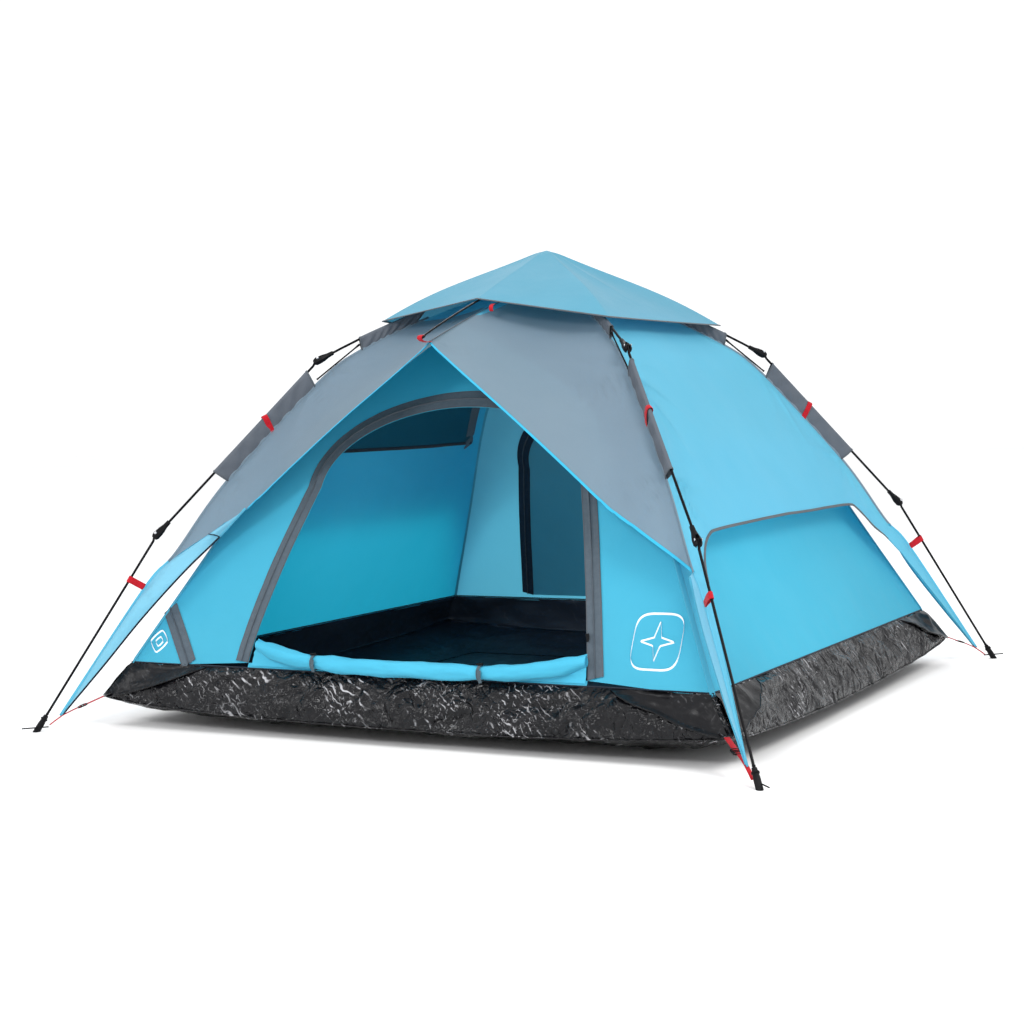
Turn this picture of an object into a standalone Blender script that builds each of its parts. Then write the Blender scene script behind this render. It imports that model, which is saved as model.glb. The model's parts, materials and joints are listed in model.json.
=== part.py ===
"""Four-legged pop-up tent: jointed rod frame, central hub, fly panels, inner tent and groundsheet.

Metres, +Z up, door towards -Y.  The origin is on the ground under the hub.
"""

import math

import bmesh
import bpy
from mathutils import Matrix, Vector

# ---------------------------------------------------------------- driving dimensions

FOOT_HALF_WIDTH = 1.110
FOOT_HALF_DEPTH = 1.166
LEG_AZIMUTH = math.atan2(FOOT_HALF_DEPTH, FOOT_HALF_WIDTH)
FOOT_RADIUS = math.hypot(FOOT_HALF_WIDTH, FOOT_HALF_DEPTH)

# Points of one leg as (distance from the tent's axis, height).
HUB_PIVOT = (0.050, 1.330)
UPPER_ELBOW = (0.742, 1.063)
LOWER_ELBOW = (1.242, 0.558)
FOOT = (FOOT_RADIUS, 0.0)

ROD_RADIUS = 0.00375
UPPER_ROD_BOW = 0.022
PIVOT_OFFSET = 0.009
GAP = 0.0005
FABRIC = 0.0015

SOCKET_LENGTH = 0.052
SOCKET_NOSE = 0.014
SOCKET_MOUTH_RADIUS = 0.0065
SOCKET_FORK_RADIUS = 0.0125
FORK_SLOT = 0.0092
FORK_DEPTH = 0.016

FOOT_CAP_RADIUS = 0.0095
FOOT_CAP_LENGTH = 0.055
FOOT_PIN_RADIUS = 0.002
FOOT_PIN_SIDE = 0.0062
FOOT_PIN_HEIGHT = 0.013

HUB_RADIUS = 0.066
HUB_BOTTOM = 1.312
HUB_TOP = 1.346
HUB_SLOT = 0.0142

ROOF_APEX = 1.402
ROOF_CORNER = (0.595, 1.156)
ROOF_PEAK_Y = 0.465
ROOF_PEAK_Z = 1.227

AWNING_TIP = (0.789, 1.106)
AWNING_BOW = 0.015
AWNING_ROD_RADIUS = 0.003

# Lines of the fabric in the plane of one leg, from the hub down.
FLY_LINE = [(0.10, 1.285), (0.35, 1.205), (0.595, 1.098), (0.745, 0.993), (1.03, 0.706),
            (1.19, 0.498), (1.28, 0.405), (1.528, 0.056)]
INNER_LINE = [(0.04, 1.230), (0.35, 1.130), (0.70, 0.960), (0.876, 0.800), (1.063, 0.538),
              (1.33, 0.187)]
AWNING_RIDGE = [(0.075, 1.285), (0.44, 1.190), (0.745, 1.095)]
ARCH_HEIGHT = 0.560
AWNING_HEM_HEIGHT = 0.498

TUB_RIM_X = 0.917
TUB_RIM_Y = 0.963
TUB_RIM_Z = 0.185
TUB_EDGE_X = 0.984
TUB_EDGE_Y = 1.011
TUB_CORNER_Z = 0.090
TUB_MIDDLE_Z = 0.050

DOOR_SILL = 0.200
DOOR_LEFT = -0.500
DOOR_RIGHT = 0.568
ROLL_RADIUS = 0.023
ROLL_STAND_OFF = 0.033

STRAP_WIDTH = 0.020

# Sides of round pieces.
THIN_SIDES = 6
ROD_SIDES = 8
WIDE_SIDES = 10
HUB_SIDES = 36

LEGS = {
    "front_right": -LEG_AZIMUTH,
    "rear_right": LEG_AZIMUTH,
    "rear_left": math.pi - LEG_AZIMUTH,
    "front_left": math.pi + LEG_AZIMUTH,
}

COLOURS = {
    "fabric_blue": ((0.16, 0.56, 0.76), 0.55, 0.0),
    "fabric_grey": ((0.30, 0.34, 0.39), 0.60, 0.0),
    "sheet_black": ((0.02, 0.02, 0.024), 0.30, 0.0),
    "webbing_red": ((0.75, 0.02, 0.03), 0.70, 0.0),
    "rod_black": ((0.015, 0.015, 0.016), 0.35, 0.0),
    "plastic_black": ((0.02, 0.02, 0.022), 0.45, 0.0),
    "steel": ((0.55, 0.55, 0.57), 0.30, 1.0),
}


# ---------------------------------------------------------------- scene and materials

def clear_scene():
    for item in list(bpy.data.objects):
        bpy.data.objects.remove(item, do_unlink=True)


def make_materials():
    made = {}
    for name, (colour, roughness, metallic) in COLOURS.items():
        material = bpy.data.materials.new(name)
        material.use_nodes = True
        shader = material.node_tree.nodes["Principled BSDF"]
        shader.inputs["Base Color"].default_value = (*colour, 1.0)
        shader.inputs["Roughness"].default_value = roughness
        shader.inputs["Metallic"].default_value = metallic
        made[name] = material
    return made


def add_object(name, mesh_data, material):
    mesh = bpy.data.meshes.new(name)
    bmesh.ops.recalc_face_normals(mesh_data, faces=mesh_data.faces)
    mesh_data.to_mesh(mesh)
    mesh_data.free()
    mesh.materials.append(MATERIALS[material])
    item = bpy.data.objects.new(name, mesh)
    bpy.context.scene.collection.objects.link(item)
    return item


def add_cutter(name, mesh_data):
    item = add_object(name, mesh_data, "plastic_black")
    item.hide_render = True
    item.display_type = "WIRE"
    return item


def cut(item, cutter):
    modifier = item.modifiers.new("cut_" + cutter.name, "BOOLEAN")
    modifier.operation = "DIFFERENCE"
    modifier.solver = "EXACT"
    modifier.object = cutter


def solidify(item, thickness):
    modifier = item.modifiers.new("thickness", "SOLIDIFY")
    modifier.thickness = thickness
    modifier.offset = 0.0


# ---------------------------------------------------------------- geometry helpers

def leg_frame(azimuth):
    """Outward and sideways directions of one leg's plane."""
    outward = Vector((math.cos(azimuth), math.sin(azimuth), 0.0))
    sideways = Vector((-math.sin(azimuth), math.cos(azimuth), 0.0))
    return outward, sideways


def leg_point(azimuth, place, side=0.0):
    outward, sideways = leg_frame(azimuth)
    return outward * place[0] + sideways * side + Vector((0.0, 0.0, place[1]))


def along(line, share):
    """Point at a share of the way along an open line, by length."""
    points = [Vector(p) for p in line]
    lengths = [(b - a).length for a, b in zip(points, points[1:])]
    left = share * sum(lengths)
    for start, end, length in zip(points, points[1:], lengths):
        if left <= length or end is points[-1]:
            return start.lerp(end, min(left / length, 1.0))
        left -= length
    return points[-1]


def line_radius(line, height):
    """Distance from the axis at which a falling line passes a height."""
    for (r0, z0), (r1, z1) in zip(line, line[1:]):
        if z1 <= height <= z0:
            return r0 + (r1 - r0) * (z0 - height) / (z0 - z1)
    return line[-1][0] if height < line[-1][1] else line[0][0]


def bowed_path(start, end, bow, steps):
    """Points of a slightly sprung rod, raised by `bow` in the middle."""
    path = []
    for i in range(steps + 1):
        t = i / steps
        path.append(start.lerp(end, t) + Vector((0.0, 0.0, 4.0 * bow * t * (1.0 - t))))
    return path


def section_frames(path, reference):
    """One pair of section axes for each point of a path."""
    frames = []
    for i, point in enumerate(path):
        before = path[max(i - 1, 0)]
        after = path[min(i + 1, len(path) - 1)]
        tangent = (after - before).normalized()
        across = tangent.cross(reference).normalized()
        frames.append((point, across, across.cross(tangent).normalized()))
    return frames


def tube(path, radii, sides, reference):
    """Closed rod along a path, with one radius for each point."""
    bm = bmesh.new()
    rings = []
    for (point, across, upward), radius in zip(section_frames(path, reference), radii):
        ring = []
        for i in range(sides):
            angle = 2.0 * math.pi * (i + 0.5) / sides
            offset = across * math.cos(angle) + upward * math.sin(angle)
            ring.append(bm.verts.new(point + offset * radius))
        rings.append(ring)
    bridge(bm, rings)
    bm.faces.new(rings[0])
    bm.faces.new(rings[-1])
    return bm


def ribbon(path, width, thickness, reference):
    """Closed flat strap along a path."""
    bm = bmesh.new()
    rings = []
    for point, across, upward in section_frames(path, reference):
        wide = across * (width / 2.0)
        thin = upward * (thickness / 2.0)
        corners = (wide + thin, thin - wide, -wide - thin, wide - thin)
        rings.append([bm.verts.new(point + corner) for corner in corners])
    bridge(bm, rings)
    bm.faces.new(rings[0])
    bm.faces.new(rings[-1])
    return bm


def bridge(bm, rings, closed=False):
    pairs = list(zip(rings, rings[1:]))
    if closed:
        pairs.append((rings[-1], rings[0]))
    for first, second in pairs:
        count = len(first)
        for i in range(count):
            j = (i + 1) % count
            bm.faces.new((first[i], first[j], second[j], second[i]))


def turned(start, direction, profile, sides):
    """Solid of revolution.  The profile runs from the axis to the axis as (distance, radius)."""
    bm = bmesh.new()
    direction = direction.normalized()
    across = direction.orthogonal().normalized()
    upward = direction.cross(across)
    rings = []
    for distance, radius in profile:
        centre = start + direction * distance
        if radius == 0.0:
            rings.append([bm.verts.new(centre)])
            continue
        ring = []
        for i in range(sides):
            angle = 2.0 * math.pi * i / sides
            ring.append(bm.verts.new(centre + (across * math.cos(angle) + upward * math.sin(angle)) * radius))
        rings.append(ring)
    for first, second in zip(rings, rings[1:]):
        for i in range(sides):
            j = (i + 1) % sides
            if len(first) == 1:
                bm.faces.new((first[0], second[j], second[i]))
            elif len(second) == 1:
                bm.faces.new((first[i], first[j], second[0]))
            else:
                bm.faces.new((first[i], first[j], second[j], second[i]))
    return bm


def box(centre, axes, size):
    """Box with its edges along three given directions."""
    bm = bmesh.new()
    bmesh.ops.create_cube(bm, size=1.0)
    turn = Matrix(axes).transposed().to_4x4()
    bmesh.ops.scale(bm, vec=size, verts=bm.verts)
    bmesh.ops.transform(bm, matrix=Matrix.Translation(centre) @ turn, verts=bm.verts)
    return bm


def sheet(grid):
    """Surface through a grid of points.  Cells with an absent corner stay open."""
    bm = bmesh.new()
    verts = [[None if p is None else bm.verts.new(p) for p in row] for row in grid]
    for upper, lower in zip(verts, verts[1:]):
        for i in range(len(upper) - 1):
            corners = (upper[i], upper[i + 1], lower[i + 1], lower[i])
            if None not in corners:
                bm.faces.new(corners)
    return bm


# ---------------------------------------------------------------- rod frame

def elbow_socket(name, joint, rod_direction, sideways):
    """Flared socket on a rod's end, forked for the next rod's tongue."""
    start = joint - rod_direction * SOCKET_LENGTH
    bore = ROD_RADIUS + GAP
    bore_depth = SOCKET_LENGTH - FORK_DEPTH - 0.004
    profile = [
        (bore_depth, 0.0),
        (bore_depth, bore),
        (0.0, bore),
        (0.0, SOCKET_MOUTH_RADIUS),
        (SOCKET_LENGTH * 0.35, SOCKET_MOUTH_RADIUS * 1.15),
        (SOCKET_LENGTH * 0.80, SOCKET_FORK_RADIUS),
        (SOCKET_LENGTH + SOCKET_NOSE * 0.5, SOCKET_FORK_RADIUS),
        (SOCKET_LENGTH + SOCKET_NOSE, SOCKET_FORK_RADIUS * 0.7),
        (SOCKET_LENGTH + SOCKET_NOSE, 0.0),
    ]
    socket = add_object(name, turned(start, rod_direction, profile, WIDE_SIDES), "plastic_black")
    normal = rod_direction.cross(sideways)
    length = FORK_DEPTH + SOCKET_NOSE + 0.02
    centre = joint + rod_direction * (length / 2.0 - FORK_DEPTH)
    slot = box(centre, (rod_direction, sideways, normal), (length, FORK_SLOT, 0.06))
    cut(socket, add_cutter(name + "_slot", slot))
    return joint - rod_direction * (SOCKET_LENGTH - bore_depth + GAP)


def outer_normal(direction, sideways):
    """Direction away from the tent, square to a rod in its leg's plane."""
    return direction.cross(sideways).normalized()


def tongue(pivot, joint, direction):
    """First points of a rod: a tongue round its pivot, then the rod's own axis."""
    return [pivot - (joint - pivot).normalized() * 0.003, pivot, joint + direction * 0.022]


def build_leg(corner, azimuth):
    _, sideways = leg_frame(azimuth)
    hub = leg_point(azimuth, HUB_PIVOT)
    upper_joint = leg_point(azimuth, UPPER_ELBOW)
    lower_joint = leg_point(azimuth, LOWER_ELBOW)
    foot = leg_point(azimuth, FOOT)

    arc = bowed_path(hub, upper_joint, UPPER_ROD_BOW, 10)
    upper_direction = (arc[-1] - arc[-2]).normalized()
    rod_end = elbow_socket("upper_socket_" + corner, upper_joint, upper_direction, sideways)
    knuckle = HUB_SLOT / 2.0 - GAP
    first = (arc[1] - arc[0]).normalized()
    path = [hub - first * knuckle * 0.8, hub + first * knuckle, hub + first * 0.022] + arc[1:-1]
    path.append(rod_end)
    radii = [knuckle, knuckle] + [ROD_RADIUS] * (len(path) - 2)
    add_object("upper_rod_" + corner, tube(path, radii, ROD_SIDES, sideways), "rod_black")

    middle_direction = (lower_joint - upper_joint).normalized()
    pivot = upper_joint + outer_normal(upper_direction, sideways) * PIVOT_OFFSET
    rod_end = elbow_socket("lower_socket_" + corner, lower_joint, middle_direction, sideways)
    path = tongue(pivot, upper_joint, middle_direction) + [rod_end]
    add_object("middle_rod_" + corner, tube(path, [ROD_RADIUS] * 4, ROD_SIDES, sideways), "rod_black")

    lower_direction = (foot - lower_joint).normalized()
    pivot = lower_joint + outer_normal(middle_direction, sideways) * PIVOT_OFFSET
    rod_end = foot - lower_direction * 0.020
    path = tongue(pivot, lower_joint, lower_direction) + [rod_end]
    add_object("lower_rod_" + corner, tube(path, [ROD_RADIUS] * 4, ROD_SIDES, sideways), "rod_black")
    build_foot(corner, azimuth, foot, lower_direction, rod_end)
    build_corner_strut(corner, azimuth, sideways)


def build_foot(corner, azimuth, foot, direction, rod_end):
    start = foot - direction * FOOT_CAP_LENGTH
    bore = ROD_RADIUS + GAP
    depth = (rod_end - start).length + GAP
    profile = [
        (depth, 0.0),
        (depth, bore),
        (0.0, bore),
        (0.0, FOOT_CAP_RADIUS * 0.72),
        (FOOT_CAP_LENGTH * 0.55, FOOT_CAP_RADIUS),
        (FOOT_CAP_LENGTH + 0.03, FOOT_CAP_RADIUS),
        (FOOT_CAP_LENGTH + 0.03, 0.0),
    ]
    bm = turned(start, direction, profile, WIDE_SIDES)
    everything = bm.verts[:] + bm.edges[:] + bm.faces[:]
    ground = bmesh.ops.bisect_plane(
        bm, geom=everything, plane_co=(0, 0, 0), plane_no=(0, 0, -1), clear_outer=True)
    rim = [e for e in ground["geom_cut"] if isinstance(e, bmesh.types.BMEdge)]
    bmesh.ops.contextual_create(bm, geom=rim)
    cap = add_object("foot_cap_" + corner, bm, "plastic_black")

    outward, _ = leg_frame(azimuth)
    inner_end = leg_point(azimuth, (FOOT_RADIUS - 0.035, FOOT_PIN_HEIGHT), FOOT_PIN_SIDE)
    length = 0.076
    hole = turned(inner_end, outward, rod_profile(length, FOOT_PIN_RADIUS + GAP), WIDE_SIDES)
    cut(cap, add_cutter("foot_pin_hole_" + corner, hole))
    pin = turned(inner_end, outward, rod_profile(length, FOOT_PIN_RADIUS), THIN_SIDES)
    add_object("foot_pin_" + corner, pin, "steel")


def rod_profile(length, radius):
    return [(0.0, 0.0), (0.0, radius), (length, radius), (length, 0.0)]


def build_corner_strut(corner, azimuth, sideways):
    """Short prong under the upper rod that spreads the fly's corner."""
    clip = leg_point(azimuth, (0.612, 1.1105))
    tip = leg_point(azimuth, (0.748, 1.006))
    middle = clip.lerp(tip, 0.12)
    path = [clip, middle, clip.lerp(tip, 0.96), tip]
    radii = [0.0042, 0.0026, 0.0026, 0.0036]
    add_object("corner_strut_" + corner, tube(path, radii, THIN_SIDES, sideways), "rod_black")


def build_hub():
    height = HUB_TOP - HUB_BOTTOM
    profile = [
        (0.0, 0.0),
        (0.0, HUB_RADIUS * 0.9),
        (height * 0.25, HUB_RADIUS),
        (height * 0.85, HUB_RADIUS),
        (height, HUB_RADIUS * 0.92),
        (height, 0.0),
    ]
    hub = add_object("hub_body", turned(Vector((0, 0, HUB_BOTTOM)), Vector((0, 0, 1)), profile, HUB_SIDES),
                     "plastic_black")
    angles = list(LEGS.values()) + [math.pi / 2.0, -math.pi / 2.0]
    slot_top = HUB_TOP - 0.006
    slot_low = HUB_BOTTOM - 0.02
    for number, azimuth in enumerate(angles):
        outward, sideways = leg_frame(azimuth)
        middle = outward * 0.068 + Vector((0, 0, (slot_top + slot_low) / 2.0))
        size = (0.060, HUB_SLOT, slot_top - slot_low)
        slot = box(middle, (outward, sideways, Vector((0, 0, 1))), size)
        cut(hub, add_cutter("hub_slot_%d" % number, slot))
    stem = HUB_TOP + GAP
    bolt = [(0.0, 0.0), (0.0, 0.012), (0.029, 0.012), (0.031, 0.019), (0.037, 0.014), (0.040, 0.0)]
    add_object("hub_bolt", turned(Vector((0, 0, stem)), Vector((0, 0, 1)), bolt, HUB_SIDES // 2), "plastic_black")


def build_awning_strut(name, azimuth):
    _, sideways = leg_frame(azimuth)
    hub = leg_point(azimuth, HUB_PIVOT)
    tip = leg_point(azimuth, AWNING_TIP)
    arc = bowed_path(hub, tip, AWNING_BOW, 10)
    first = (arc[1] - arc[0]).normalized()
    knuckle = HUB_SLOT / 2.0 - GAP
    path = [hub - first * knuckle * 0.8, hub + first * knuckle, hub + first * 0.022] + arc[1:]
    radii = [knuckle, knuckle] + [AWNING_ROD_RADIUS] * (len(path) - 2)
    add_object(name, tube(path, radii, THIN_SIDES, sideways), "rod_black")


# ---------------------------------------------------------------- fabric

def build_roof_cap():
    """Pyramid cap: four ridges over the legs, hems raised over the two awning struts."""
    corner_x = ROOF_CORNER[0] * math.cos(LEG_AZIMUTH)
    corner_y = ROOF_CORNER[0] * math.sin(LEG_AZIMUTH)
    corner_z = ROOF_CORNER[1]
    outline = [
        (Vector((corner_x, -corner_y, corner_z)), UPPER_ROD_BOW),
        (Vector((corner_x - 0.006, 0.0, corner_z)), 0.0),
        (Vector((corner_x, corner_y, corner_z)), UPPER_ROD_BOW),
        (Vector((0.0, ROOF_PEAK_Y, ROOF_PEAK_Z)), AWNING_BOW),
        (Vector((-corner_x, corner_y, corner_z)), UPPER_ROD_BOW),
        (Vector((0.006 - corner_x, 0.0, corner_z)), 0.0),
        (Vector((-corner_x, -corner_y, corner_z)), UPPER_ROD_BOW),
        (Vector((0.0, -ROOF_PEAK_Y, ROOF_PEAK_Z)), AWNING_BOW),
    ]
    apex = Vector((0.0, 0.0, ROOF_APEX))
    steps = 3
    rows = 6
    hem = []
    for i, (start, start_bow) in enumerate(outline):
        end, end_bow = outline[(i + 1) % len(outline)]
        for j in range(steps):
            t = j / steps
            hem.append((start.lerp(end, t), start_bow + (end_bow - start_bow) * t))
    bm = bmesh.new()
    top = bm.verts.new(apex)
    rings = []
    for row in range(1, rows + 1):
        t = row / rows
        ring = []
        for point, bow in hem:
            lift = 4.0 * bow * t * (1.0 - t)
            ring.append(bm.verts.new(apex.lerp(point, t) + Vector((0.0, 0.0, lift))))
        rings.append(ring)
    for i in range(len(hem)):
        bm.faces.new((top, rings[0][i], rings[0][(i + 1) % len(hem)]))
    bridge(bm, rings)
    solidify(add_object("roof_cap", bm, "fabric_blue"), FABRIC)


def fly_edge(azimuth, share, bottom, side):
    """Point of the fly's seam along a leg, from the hub down to a height."""
    trimmed = trim(FLY_LINE, bottom)
    place = along(trimmed, share)
    return leg_point(azimuth, place, side)


def trim(line, bottom):
    """Part of a falling line above a height."""
    kept = [p for p in line if p[1] > bottom + 1e-6]
    return kept + [(line_radius(line, bottom), bottom)]


def wing_rows(azimuth, top, side, toward):
    """Pairs of points of the band that runs down a leg: the seam first, then the hem."""
    outward, sideways = leg_frame(azimuth)
    steps = 5
    bottom = FLY_LINE[-1][1]
    pairs = []
    for i in range(1, steps + 1):
        height = top + (bottom - top) * i / steps
        width = 0.008 + 0.075 * (1.0 - i / steps)
        seam = leg_point(azimuth, (line_radius(FLY_LINE, height), height), side)
        hem = seam - outward * width + sideways * math.copysign(0.012 + 0.2 * width, toward)
        pairs.append((seam, hem))
    return pairs


def build_fly_panel(name, left_leg, right_leg, ridge, material):
    """Outer panel between two legs, with a band down each leg to the strap."""
    left = LEGS[left_leg]
    right = LEGS[right_leg]
    facing = (leg_frame(left)[0] + leg_frame(right)[0]).normalized()
    bottom = AWNING_HEM_HEIGHT if ridge else ARCH_HEIGHT
    shares = [0.0, 0.07, 0.2, 0.35, 0.5, 0.65, 0.8, 0.93, 1.0]
    rows = 8
    seam_side = 0.003
    grid = []
    for row in range(rows + 1):
        share = row / rows
        start = fly_edge(left, share, bottom, seam_side)
        end = fly_edge(right, share, bottom, -seam_side)
        middle = (start + end) / 2.0
        if ridge:
            crest = along(AWNING_RIDGE, share)
            middle = facing * crest[0] + Vector((0.0, 0.0, crest[1]))
        line = []
        for s in shares:
            if s <= 0.5:
                line.append(start.lerp(middle, s * 2.0))
            else:
                line.append(middle.lerp(end, s * 2.0 - 1.0))
        grid.append(line)
    blank = [None] * (len(shares) - 4)
    left_rows = wing_rows(left, bottom, seam_side, 1.0)
    right_rows = wing_rows(right, bottom, -seam_side, -1.0)
    for (left_seam, left_hem), (right_seam, right_hem) in zip(left_rows, right_rows):
        grid.append([left_seam, left_hem] + blank + [right_hem, right_seam])
    solidify(add_object(name, sheet(grid), material), FABRIC)


def inner_wall_point(facing_front, x_share, height, seam):
    """Point of a flat inner wall between two corner seams."""
    radius = line_radius(INNER_LINE, height)
    half_width = radius * math.cos(LEG_AZIMUTH)
    half_depth = radius * math.sin(LEG_AZIMUTH)
    if facing_front:
        return Vector((x_share * (half_width - seam), half_depth, height))
    return Vector((half_width, x_share * (half_depth - seam), height))


def build_plain_inner_wall(name, facing_front, sign):
    rows = 10
    columns = 4
    grid = []
    for row in range(rows + 1):
        place = along(INNER_LINE, row / rows)
        line = []
        for column in range(columns + 1):
            point = inner_wall_point(facing_front, 2.0 * column / columns - 1.0, place[1], 0.003)
            line.append(Vector((point.x * (1 if facing_front else sign),
                                point.y * (sign if facing_front else 1), point.z)))
        grid.append(line)
    solidify(add_object(name, sheet(grid), "fabric_blue"), FABRIC)


def front_wall(x, height):
    """Point of the front inner wall at a given width and height."""
    return Vector((x, -line_radius(INNER_LINE, height) * math.sin(LEG_AZIMUTH), height))


def door_outline(steps):
    """D-shaped door: straight right side, round top, left side that curves into the top."""
    shoulder = 0.690
    top = 0.915
    left = []
    right = []
    for i in range(steps):
        t = i / steps
        height = DOOR_SILL + (shoulder - DOOR_SILL) * t
        left.append((DOOR_LEFT + 0.090 * t * t, height))
        right.append((DOOR_RIGHT - 0.134 * t, height))
    left_x = DOOR_LEFT + 0.090
    right_x = DOOR_RIGHT - 0.134
    arc = []
    for i in range(steps + 1):
        angle = math.pi * (1.0 - i / steps)
        x = (left_x + right_x) / 2.0 + (right_x - left_x) / 2.0 * math.cos(angle)
        arc.append((x, shoulder + (top - shoulder) * math.sin(angle)))
    sill = [(DOOR_RIGHT + (DOOR_LEFT - DOOR_RIGHT) * i / steps, DOOR_SILL) for i in range(1, steps)]
    return left + arc + right[::-1] + sill


def wall_outline(steps):
    """Outline of the front wall with as many points as the door's."""
    shoulder = 0.860
    base = INNER_LINE[-1][1]
    top = INNER_LINE[0][1]

    def half_width(height):
        return line_radius(INNER_LINE, height) * math.cos(LEG_AZIMUTH) - 0.003

    side = []
    for i in range(steps):
        height = base + (shoulder - base) * i / steps
        side.append((half_width(height), height))
    crown = []
    for i in range(steps + 1):
        t = 2.0 * i / steps - 1.0
        height = top + (shoulder - top) * abs(t)
        crown.append((math.copysign(half_width(height), t), height))
    foot = half_width(base)
    sill = [(foot - 2.0 * foot * i / steps, base) for i in range(1, steps)]
    return [(-x, z) for x, z in side] + crown + side[::-1] + sill


def build_front_wall():
    steps = 7
    rings = 3
    bm = bmesh.new()
    loops = []
    outer = wall_outline(steps)
    inner = door_outline(steps)
    for ring in range(rings + 1):
        t = ring / rings
        loop = []
        for (ax, az), (bx, bz) in zip(outer, inner):
            loop.append(bm.verts.new(front_wall(ax + (bx - ax) * t, az + (bz - az) * t)))
        loops.append(loop)
    bridge(bm, loops)
    solidify(add_object("inner_front", bm, "fabric_blue"), FABRIC)


def tub_ring(half_x, half_y, corner_z, middle_z, steps):
    """Points round the tub at one level, lower in the middle of each side."""
    corners = [(-1, -1), (1, -1), (1, 1), (-1, 1)]
    points = []
    for i, (x0, y0) in enumerate(corners):
        x1, y1 = corners[(i + 1) % 4]
        for j in range(steps):
            t = j / steps
            dip = 4.0 * t * (1.0 - t)
            height = corner_z + (middle_z - corner_z) * dip ** 0.6
            points.append(Vector(((x0 + (x1 - x0) * t) * half_x, (y0 + (y1 - y0) * t) * half_y, height)))
    return points


def build_groundsheet():
    steps = 6
    flat = FABRIC / 2.0
    levels = [
        tub_ring(TUB_RIM_X, TUB_RIM_Y, TUB_RIM_Z, TUB_RIM_Z, steps),
        tub_ring(TUB_EDGE_X, TUB_EDGE_Y, TUB_CORNER_Z, TUB_MIDDLE_Z, steps),
        tub_ring(TUB_EDGE_X * 0.86, TUB_EDGE_Y * 0.86, 0.022, 0.010, steps),
        tub_ring(TUB_EDGE_X * 0.72, TUB_EDGE_Y * 0.72, flat, flat, steps),
    ]
    bm = bmesh.new()
    rings = [[bm.verts.new(point) for point in level] for level in levels]
    bridge(bm, rings)
    bm.faces.new(rings[-1])
    solidify(add_object("groundsheet", bm, "sheet_black"), FABRIC)


def roll_path(steps):
    """Rolled-down door lying along the sill, with both ends turned up."""
    path = []
    start = DOOR_LEFT + 0.035
    end = DOOR_RIGHT - 0.005
    for i in range(steps + 1):
        t = i / steps
        height = 0.209 + 0.045 * abs(2.0 * t - 1.0) ** 5
        point = front_wall(start + (end - start) * t, height)
        path.append(point - Vector((0.0, ROLL_STAND_OFF, 0.0)))
    return path


def build_door():
    path = roll_path(16)
    radii = [ROLL_RADIUS] * len(path)
    radii[0] = ROLL_RADIUS * 0.75
    radii[-1] = ROLL_RADIUS * 0.75
    add_object("door_roll", tube(path, radii, WIDE_SIDES, Vector((0, 1, 0))), "fabric_blue")
    for name, index in (("door_tie_left", 4), ("door_tie_right", 12)):
        tangent = (path[index + 1] - path[index - 1]).normalized()
        add_object(name, hoop(path[index], tangent, ROLL_RADIUS + GAP, 0.0018, 0.018), "fabric_grey")


def hoop(centre, axis, inner_radius, thickness, width):
    """Closed band round an axis."""
    across = axis.cross(Vector((0, 0, 1))).normalized()
    upward = across.cross(axis)
    section = [(inner_radius, -0.5), (inner_radius + thickness, -0.5),
               (inner_radius + thickness, 0.5), (inner_radius, 0.5)]
    bm = bmesh.new()
    rings = []
    for i in range(2 * WIDE_SIDES):
        angle = math.pi * (i + 0.5) / WIDE_SIDES
        spoke = across * math.cos(angle) + upward * math.sin(angle)
        rings.append([bm.verts.new(centre + spoke * radius + axis * (place * width))
                      for radius, place in section])
    bridge(bm, rings, closed=True)
    return bm


def build_zip_slider():
    low = front_wall(DOOR_RIGHT + 0.020, DOOR_SILL)
    high = front_wall(DOOR_RIGHT - 0.114, 0.538)
    upward = (high - low).normalized()
    across = Vector((1, 0, 0))
    outward = across.cross(upward).normalized()
    across = upward.cross(outward)
    centre = low + upward * 0.125 + outward * 0.0055
    bm = box(centre, (across, outward, upward), (0.010, 0.005, 0.030))
    bmesh.ops.bevel(bm, geom=bm.edges[:], offset=0.0012, segments=1, affect="EDGES")
    add_object("zip_slider", bm, "plastic_black")


# ---------------------------------------------------------------- corner straps

def build_corner_strap(corner, azimuth):
    _, sideways = leg_frame(azimuth)
    route = [(1.419, 0.0885), (1.458, 0.0735), (1.492, 0.0610), (1.532, 0.0440), (1.5735, 0.0160)]
    path = [leg_point(azimuth, place) for place in route]
    add_object("corner_strap_" + corner, ribbon(path, STRAP_WIDTH, FABRIC, sideways.cross(path[-1] - path[0])),
               "webbing_red")
    direction = (path[2] - path[1]).normalized()
    upward = direction.cross(sideways)
    centre = path[1].lerp(path[2], 0.5)
    add_object("strap_buckle_" + corner, window_frame(centre, direction, sideways, upward), "plastic_black")


def window_frame(centre, direction, sideways, upward):
    """Flat buckle: a rectangular sleeve that the strap runs through."""
    length = 0.024
    bm = bmesh.new()
    rings = []
    for end, half_width, half_height in ((-0.5, 0.0112, 0.0022), (-0.5, 0.0145, 0.0042),
                                         (0.5, 0.0145, 0.0042), (0.5, 0.0112, 0.0022)):
        ring = []
        for x, z in ((-1, -1), (1, -1), (1, 1), (-1, 1)):
            offset = direction * (end * length) + sideways * (x * half_width) + upward * (z * half_height)
            ring.append(bm.verts.new(centre + offset))
        rings.append(ring)
    bridge(bm, rings, closed=True)
    return bm


# ---------------------------------------------------------------- whole tent

clear_scene()
MATERIALS = make_materials()

build_hub()
for corner_name, corner_azimuth in LEGS.items():
    build_leg(corner_name, corner_azimuth)
    build_corner_strap(corner_name, corner_azimuth)
build_awning_strut("awning_strut_front", -math.pi / 2.0)
build_awning_strut("awning_strut_rear", math.pi / 2.0)

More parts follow.
